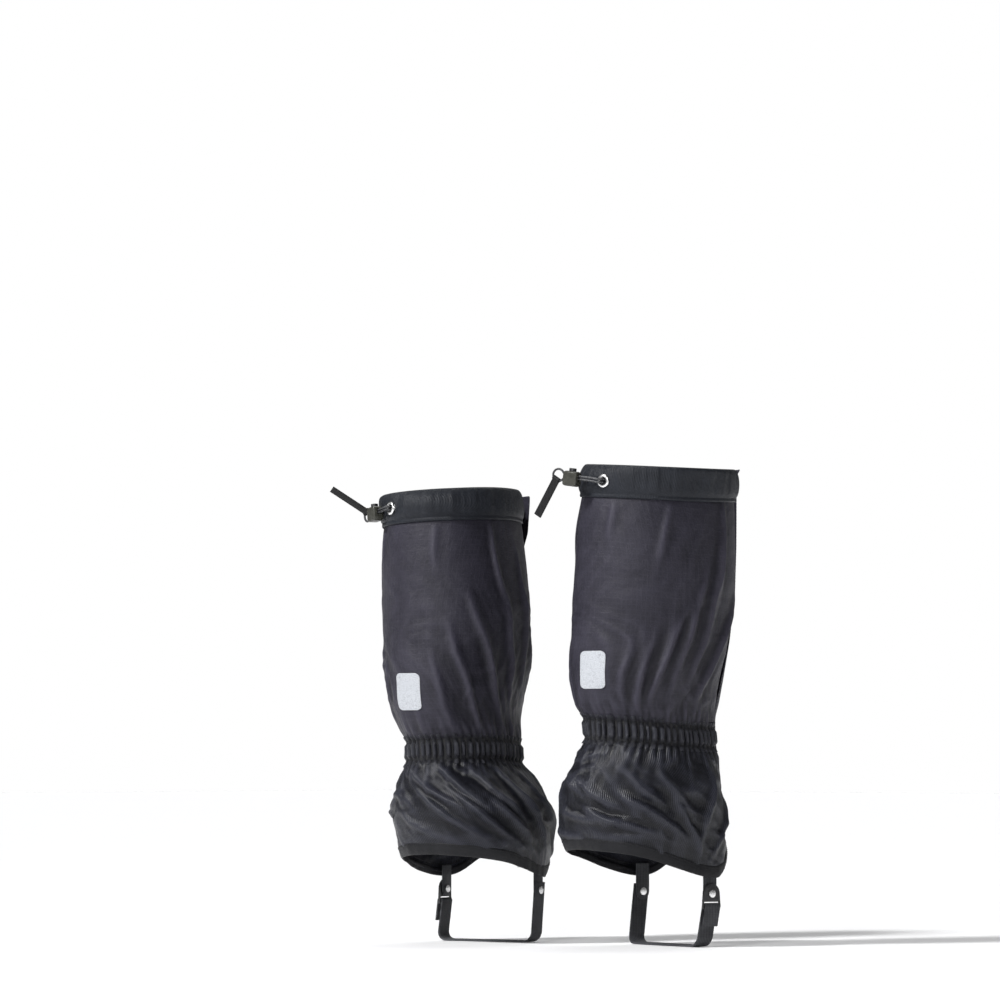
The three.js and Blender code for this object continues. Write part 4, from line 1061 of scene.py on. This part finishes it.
# ---- small parts ---------------------------------------------------------------------------------
BEVEL_ANGLE, SMOOTH_ANGLE = 35, 50


def refined_copy(node, finish, rounds=0, bevel=0.0):
    """A merged copy of a frame node, with rounded edges and smooth faces."""
    source = frame["nodes"][node]
    mesh = source.data.copy()
    mesh.materials.clear()
    mesh.materials.append(FINISH[finish])
    piece = bpy.data.objects.new(f"{node}_fine", mesh)
    bpy.context.scene.collection.objects.link(piece)
    work = bmesh.new()
    work.from_mesh(mesh)
    bmesh.ops.remove_doubles(work, verts=work.verts, dist=1e-6)
    bmesh.ops.dissolve_limit(work, angle_limit=math.radians(1.0), verts=work.verts, edges=work.edges)
    work.to_mesh(mesh)
    work.free()
    if bevel:
        apply_modifier(
            piece, "BEVEL", width=bevel, segments=3, limit_method="ANGLE", angle_limit=math.radians(BEVEL_ANGLE)
        )
    if rounds:
        apply_modifier(piece, "TRIANGULATE")
        apply_modifier(piece, "SUBSURF", levels=rounds, render_levels=rounds)
    select_only(piece)
    bpy.ops.object.shade_smooth_by_angle(angle=math.radians(SMOOTH_ANGLE))
    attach(piece, frame["nodes"][node]["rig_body"])
    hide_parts(node)
    return piece


def turned(name, profile, place, axis, finish, sides=48):
    """A ring turned about an axis: each profile point is (radius, height along the axis)."""
    bpy.ops.object.select_all(action="DESELECT")
    bpy.ops.mesh.primitive_circle_add(vertices=sides, radius=profile[0][0], location=(0, 0, profile[0][1]))
    piece = bpy.context.active_object
    piece.name = name
    bpy.ops.object.transform_apply(location=True)
    bpy.ops.object.mode_set(mode="EDIT")
    bpy.ops.mesh.select_all(action="SELECT")
    closed = list(profile[1:]) + [profile[0]]
    before = profile[0]
    for radius, height in closed:
        bpy.ops.mesh.extrude_region_move(TRANSFORM_OT_translate={"value": (0, 0, height - before[1])})
        size = radius / before[0]
        bpy.ops.transform.resize(value=(size, size, 1), center_override=(0, 0, height))
        before = (radius, height)
    bpy.ops.mesh.select_all(action="SELECT")
    bpy.ops.mesh.remove_doubles(threshold=1e-6)
    bpy.ops.mesh.normals_make_consistent(inside=False)
    bpy.ops.object.mode_set(mode="OBJECT")
    turn = Vector(axis).to_track_quat("Z", "Y").to_matrix().to_4x4()
    piece.data.transform(Matrix.Translation(place) @ turn)
    piece.data.materials.append(FINISH[finish])
    apply_modifier(piece, "SUBSURF", levels=1, render_levels=1)
    bpy.ops.object.shade_smooth()
    return piece


def eyelet(gaiter):
    """A rolled metal eyelet, which is set against the flat washer inside."""
    profile = [
        (3.5, -0.3), (3.4, 0.6), (4.0, 1.2), (5.0, 1.4), (6.0, 1.0), (6.7, 0.2), (6.6, -0.2), (5.2, -0.1),
        (4.1, -0.4), (4.05, -2.0), (3.5, -2.0),
    ]
    profile = [(r * MM, z * MM) for r, z in profile]
    ring = turned(f"{gaiter.side}_eyelet_ring", profile, gaiter.eyelet_place, gaiter.eyelet_out, "nickel")
    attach(ring, f"{gaiter.side}_gaiter")
    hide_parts(f"{gaiter.side}_eyelet")


def stitches(name, path, pitch, length, width, body):
    """A row of short raised threads along a path of (point, outward) pairs."""
    vertices, faces = [], []
    reach = 0.0
    wanted = pitch
    for (a, out), (b, _) in zip(path, path[1:]):
        step = (b - a).length
        while reach + step >= wanted and step > 0:
            place = a.lerp(b, (wanted - reach) / step)
            along = (b - a).normalized()
            side = along.cross(out).normalized()
            start = len(vertices)
            for t, lift, thin in ((-0.5, -0.3, 0.5), (-0.3, 0.5, 1), (0.3, 0.5, 1), (0.5, -0.3, 0.5)):
                centre = place + along * (t * length) + out * (lift * width)
                for s, up in ((-0.5, -0.4), (0.5, -0.4), (0.5, 0.2), (0, 0.5), (-0.5, 0.2)):
                    vertices.append(centre + side * (s * width * thin) + out * (up * width * thin))
            for ring in range(3):
                for k in range(5):
                    a0, b0 = start + ring * 5 + k, start + ring * 5 + (k + 1) % 5
                    faces.append((a0, b0, b0 + 5, a0 + 5))
            faces.append(tuple(start + k for k in (4, 3, 2, 1, 0)))
            faces.append(tuple(start + 15 + k for k in range(5)))
            wanted += pitch
        reach += step
    mesh = bpy.data.meshes.new(name)
    mesh.from_pydata([tuple(v) for v in vertices], [], faces)
    mesh.materials.append(FINISH["thread"])
    piece = bpy.data.objects.new(name, mesh)
    bpy.context.scene.collection.objects.link(piece)
    work = bmesh.new()
    work.from_mesh(mesh)
    bmesh.ops.recalc_face_normals(work, faces=work.faces)
    work.to_mesh(mesh)
    work.free()
    mesh.polygons.foreach_set("use_smooth", [True] * len(mesh.polygons))
    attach(piece, body)
    return piece


def seam_path(points, row, lift=0.15 * MM):
    """A sewn line along one row of a band's points, with the way out of the cloth at each."""
    line = points[row]
    level = np.gradient(line, axis=0)
    path = []
    for place, step in zip(line, level):
        out = Vector(step).cross(Vector((0, 0, 1))).normalized()
        path.append((Vector(place) + out * lift, out))
    middle = Vector(line.mean(axis=0))
    if (path[len(path) // 2][0] - middle).dot(path[len(path) // 2][1]) < 0:
        path = [(place - out * (2 * lift), -out) for place, out in path]
    return path


def sew(gaiter, name, points, rows, pitch):
    """Sewn lines along rows of a band."""
    side = gaiter.side
    for row in rows:
        path = seam_path(points, row, SEWN_LIFT)
        length = pitch * STITCH_SHARE
        stitches(f"{side}_{name}_stitches_{row}", path, pitch, length, THREAD_WIDTH, f"{side}_gaiter")


SEWN_LIFT = 0.2 * MM
STITCH_SHARE = 0.72  # of each pitch, the share that a stitch covers
THREAD_WIDTH = 0.55 * MM


def cloth_map(piece, gaiter):
    """A flat map for straps and tabs: across is forwards, and along runs down and under the boot."""
    mesh = piece.data
    layer = mesh.uv_layers.new(name="cloth")
    for loop in mesh.loops:
        x, y, z = gaiter.local(mesh.vertices[loop.vertex_index].co)
        layer.data[loop.index].uv = (y, z + abs(x))


BADGE_CORNER = 5 * MM


def badge(gaiter, calf):
    """A reflective patch that follows the calf panel behind the shin."""
    points, _ = mesh_arrays(f"{gaiter.side}_reflective_badge")
    places = [gaiter.angle_of(point) for point in points]
    angles, heights = [p[0] for p in places], [p[2] for p in places]
    middle, turn = (min(angles) + max(angles)) / 2, (max(angles) - min(angles)) / 2
    height, half = (min(heights) + max(heights)) / 2, (max(heights) - min(heights)) / 2
    mesh = calf.data
    surface = BVHTree.FromPolygons([v.co for v in mesh.vertices], [p.vertices for p in mesh.polygons])
    steps = 27
    round_across = BADGE_CORNER / (gaiter.radius(middle, height) * math.radians(turn))
    round_up = BADGE_CORNER / half
    grid = np.zeros((steps, steps, 3))
    reach = np.zeros((steps, steps))
    spots = {}
    for i in range(steps):
        for k in range(steps):
            v, u = i / (steps - 1) * 2 - 1, k / (steps - 1) * 2 - 1
            into = min(max(0.0, abs(v) - (1 - round_up)) / round_up, 1.0)
            angle = middle + turn * u * (1 - round_across * (1 - math.sqrt(1 - into**2)))
            z = height + half * v
            inwards = -gaiter.direction(angle)
            start = gaiter.flat_point(angle, z) - inwards * 40 * MM
            hit = surface.ray_cast(start, inwards, 0.1)
            reach[i, k] = (hit[0] - start).length if hit[0] else 40 * MM
            spots[i, k] = (start, inwards)
    for _ in range(3):
        padded = np.pad(reach, 1, mode="edge")
        evened = (padded[:-2, 1:-1] + padded[2:, 1:-1] + padded[1:-1, :-2] + padded[1:-1, 2:] + 2 * reach) / 6
        reach = np.minimum(evened, reach)
    for (i, k), (start, inwards) in spots.items():
        grid[i, k] = start + inwards * (reach[i, k] - 0.75 * MM)
    piece = sheet_object(f"{gaiter.side}_badge_film", grid, "reflective_film", gaiter)
    thicken(piece, 0.5 * MM)
    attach(piece, f"{gaiter.side}_gaiter")
    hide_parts(f"{gaiter.side}_reflective_badge")


def measure(gaiter):
    """Keeps the heights of the bands' edges, and the eyelet's place, with the gaiter."""
    side = gaiter.side
    gaiter.cuff_low = gaiter.edge("top_cuff", False)
    gaiter.cuff_high = gaiter.edge("top_cuff", True)
    gaiter.ankle_low = gaiter.edge("ankle_casing", False)
    gaiter.ankle_high = gaiter.edge("ankle_casing", True)
    gaiter.hem_low = gaiter.edge("hem_band", False)
    gaiter.ankle_middle = lambda angle: (gaiter.ankle_low(angle) + gaiter.ankle_high(angle)) / 2
    washer = Vector(mesh_arrays(f"{side}_eyelet_washer")[0].mean(axis=0))
    ring = Vector(mesh_arrays(f"{side}_eyelet")[0].mean(axis=0))
    gaiter.eyelet_out = (ring - washer).normalized()
    gaiter.eyelet_place = washer + gaiter.eyelet_out * WASHER_DEPTH
    gaiter.eyelet_angle = gaiter.angle_of(gaiter.eyelet_place)[0]


WASHER_DEPTH = 1.8 * MM  # the washer's middle lies this far under the cuff's outer face


def soft_parts(gaiter):
    side = gaiter.side
    body = f"{side}_gaiter"
    keep = {}
    calf = panel(
        gaiter,
        "calf_panel",
        lambda a: gaiter.ankle_high(a) - TUCK,
        lambda a: gaiter.cuff_low(a) + TUCK,
        "ripstop",
    )
    skirt = panel(
        gaiter,
        "boot_skirt",
        lambda a: gaiter.hem_low(a) + TUCK,
        lambda a: gaiter.ankle_low(a) + TUCK,
        "oxford",
    )
    keep["calf_panel"], keep["boot_skirt"] = (calf, "ripstop"), (skirt, "oxford")
    keep["ankle_casing"] = (ankle_casing(gaiter), "oxford")
    keep["top_cuff"] = (top_cuff(gaiter), "cuff_cloth")
    keep["hem_band"] = (hem_band(gaiter), "binding")
    low, high = gaiter.edge("placket", False), gaiter.edge("placket", True)
    placket, _ = front_strip(
        gaiter, "placket", "oxford", np.linspace(-23.4, 5, 12), low, high, None, 1.0 * MM, flat, 0.8 * MM
    )
    keep["placket"] = (placket, "oxford")
    loops, _ = front_strip(
        gaiter, "loop_tape", "loop_pile", TAPE_ANGLES, lambda a: low(a) + TAPE_END,
        lambda a: high(a) - TAPE_END, None, 1.9 * MM, flat, 0.7 * MM,
    )
    keep["loop_tape"] = (loops, "tape")
    for node, (piece, slot) in keep.items():
        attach(piece, body)
        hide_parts(f"{side}_{node}")
    badge(gaiter, calf)
    front_flap(gaiter)


TAPE_END = 8 * MM
TAPE_ANGLES = np.linspace(-16, 0, 9)


FLAP_CORNER = {"right": 1.5 * MM, "left": 8 * MM}
FLAP_SEAM_LIFT = 0.25 * MM


def front_flap(gaiter):
    """The closing flap, sewn along its edges, and the hook tape behind it."""
    side = gaiter.side
    table = gaiter.read_form(("front_flap",), 1, around=0)
    low, high = gaiter.edge("front_flap", False), gaiter.edge("front_flap", True)
    angles = np.linspace(-19.6, 23.2, 26)
    flap, points = front_strip(
        gaiter, "front_flap", "ripstop", angles, low, high, table, 0.9 * MM,
        lambda a, h: flap_folds(a, h, FLAP_CORNER[side]), 0.7 * MM,
    )
    tape, _ = front_strip(
        gaiter, "hook_tape", "hook_pile", TAPE_ANGLES, lambda a: low(a) + TAPE_END,
        lambda a: high(a) - TAPE_END, table, -0.5 * MM, flat, 0.6 * MM,
    )
    hinge = joint(f"{side}_flap_hinge")
    for column, body in ((1, f"{side}_front_flap"), (len(angles) - 2, f"{side}_gaiter")):
        path = [(Vector(row[column]), gaiter.direction(angles[column])) for row in points]
        path = [(place + out * FLAP_SEAM_LIFT, out) for place, out in path]
        seam = stitches(f"{side}_front_flap_stitches_{column}", path, 3.2 * MM, 2.3 * MM, 0.6 * MM, body)
    axis = Vector(hinge["axis"]).normalized()
    across = -gaiter.out
    across = (across - axis * across.dot(axis)).normalized()
    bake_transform(flap)
    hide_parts(f"{side}_front_flap")
    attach(tape, f"{side}_front_flap")
    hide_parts(f"{side}_hook_tape")


HARDWARE = {
    # node: (finish, slot, subdivisions, bevel)
    "drawcord": ("cord", "cord", 2, 0),
    "lock_body": ("olive_plastic", "plastic", 0, 1.1 * MM),
    "lock_button": ("black_plastic", "plastic", 0, 0.4 * MM),
    "pull_tab": ("tab_webbing", "binding", 0, 0.15 * MM),
    "outer_anchor_tab": ("webbing", "webbing", 0, 0.3 * MM),
    "inner_anchor_tab": ("webbing", "webbing", 0, 0.3 * MM),
    "outer_rivet": ("nickel", "steel", 0, 0.4 * MM),
    "inner_rivet": ("nickel", "steel", 0, 0.4 * MM),
    "instep_strap": ("webbing", "webbing", 0, 0.4 * MM),
    "strap_buckle": ("black_plastic", "black_plastic", 0, 0.5 * MM),
    "lace_hook_tab": ("webbing", "webbing", 0, 0.2 * MM),
    "lace_hook": ("nickel", "steel", 1, 0),
}
HIDDEN = {"ankle_elastic": "elastic", "eyelet_washer": "nickel"}


def lock_spring(gaiter):
    """The spring under the button."""
    side = gaiter.side
    spring = refined_copy(f"{side}_lock_spring", "nickel")
    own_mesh(spring)


def hardware(gaiter):
    eyelet(gaiter)
    lock_spring(gaiter)
    for part, (finish, slot, rounds, bevel) in HARDWARE.items():
        piece = refined_copy(f"{gaiter.side}_{part}", finish, rounds, bevel)
        if finish in CLOTH:
            cloth_map(piece, gaiter)
    for part, finish in HIDDEN.items():
        mesh = frame["nodes"][f"{gaiter.side}_{part}"].data
        mesh.materials.clear()
        mesh.materials.append(FINISH[finish])


build_stage()
for one in GAITERS.values():
    measure(one)
    soft_parts(one)
    hardware(one)
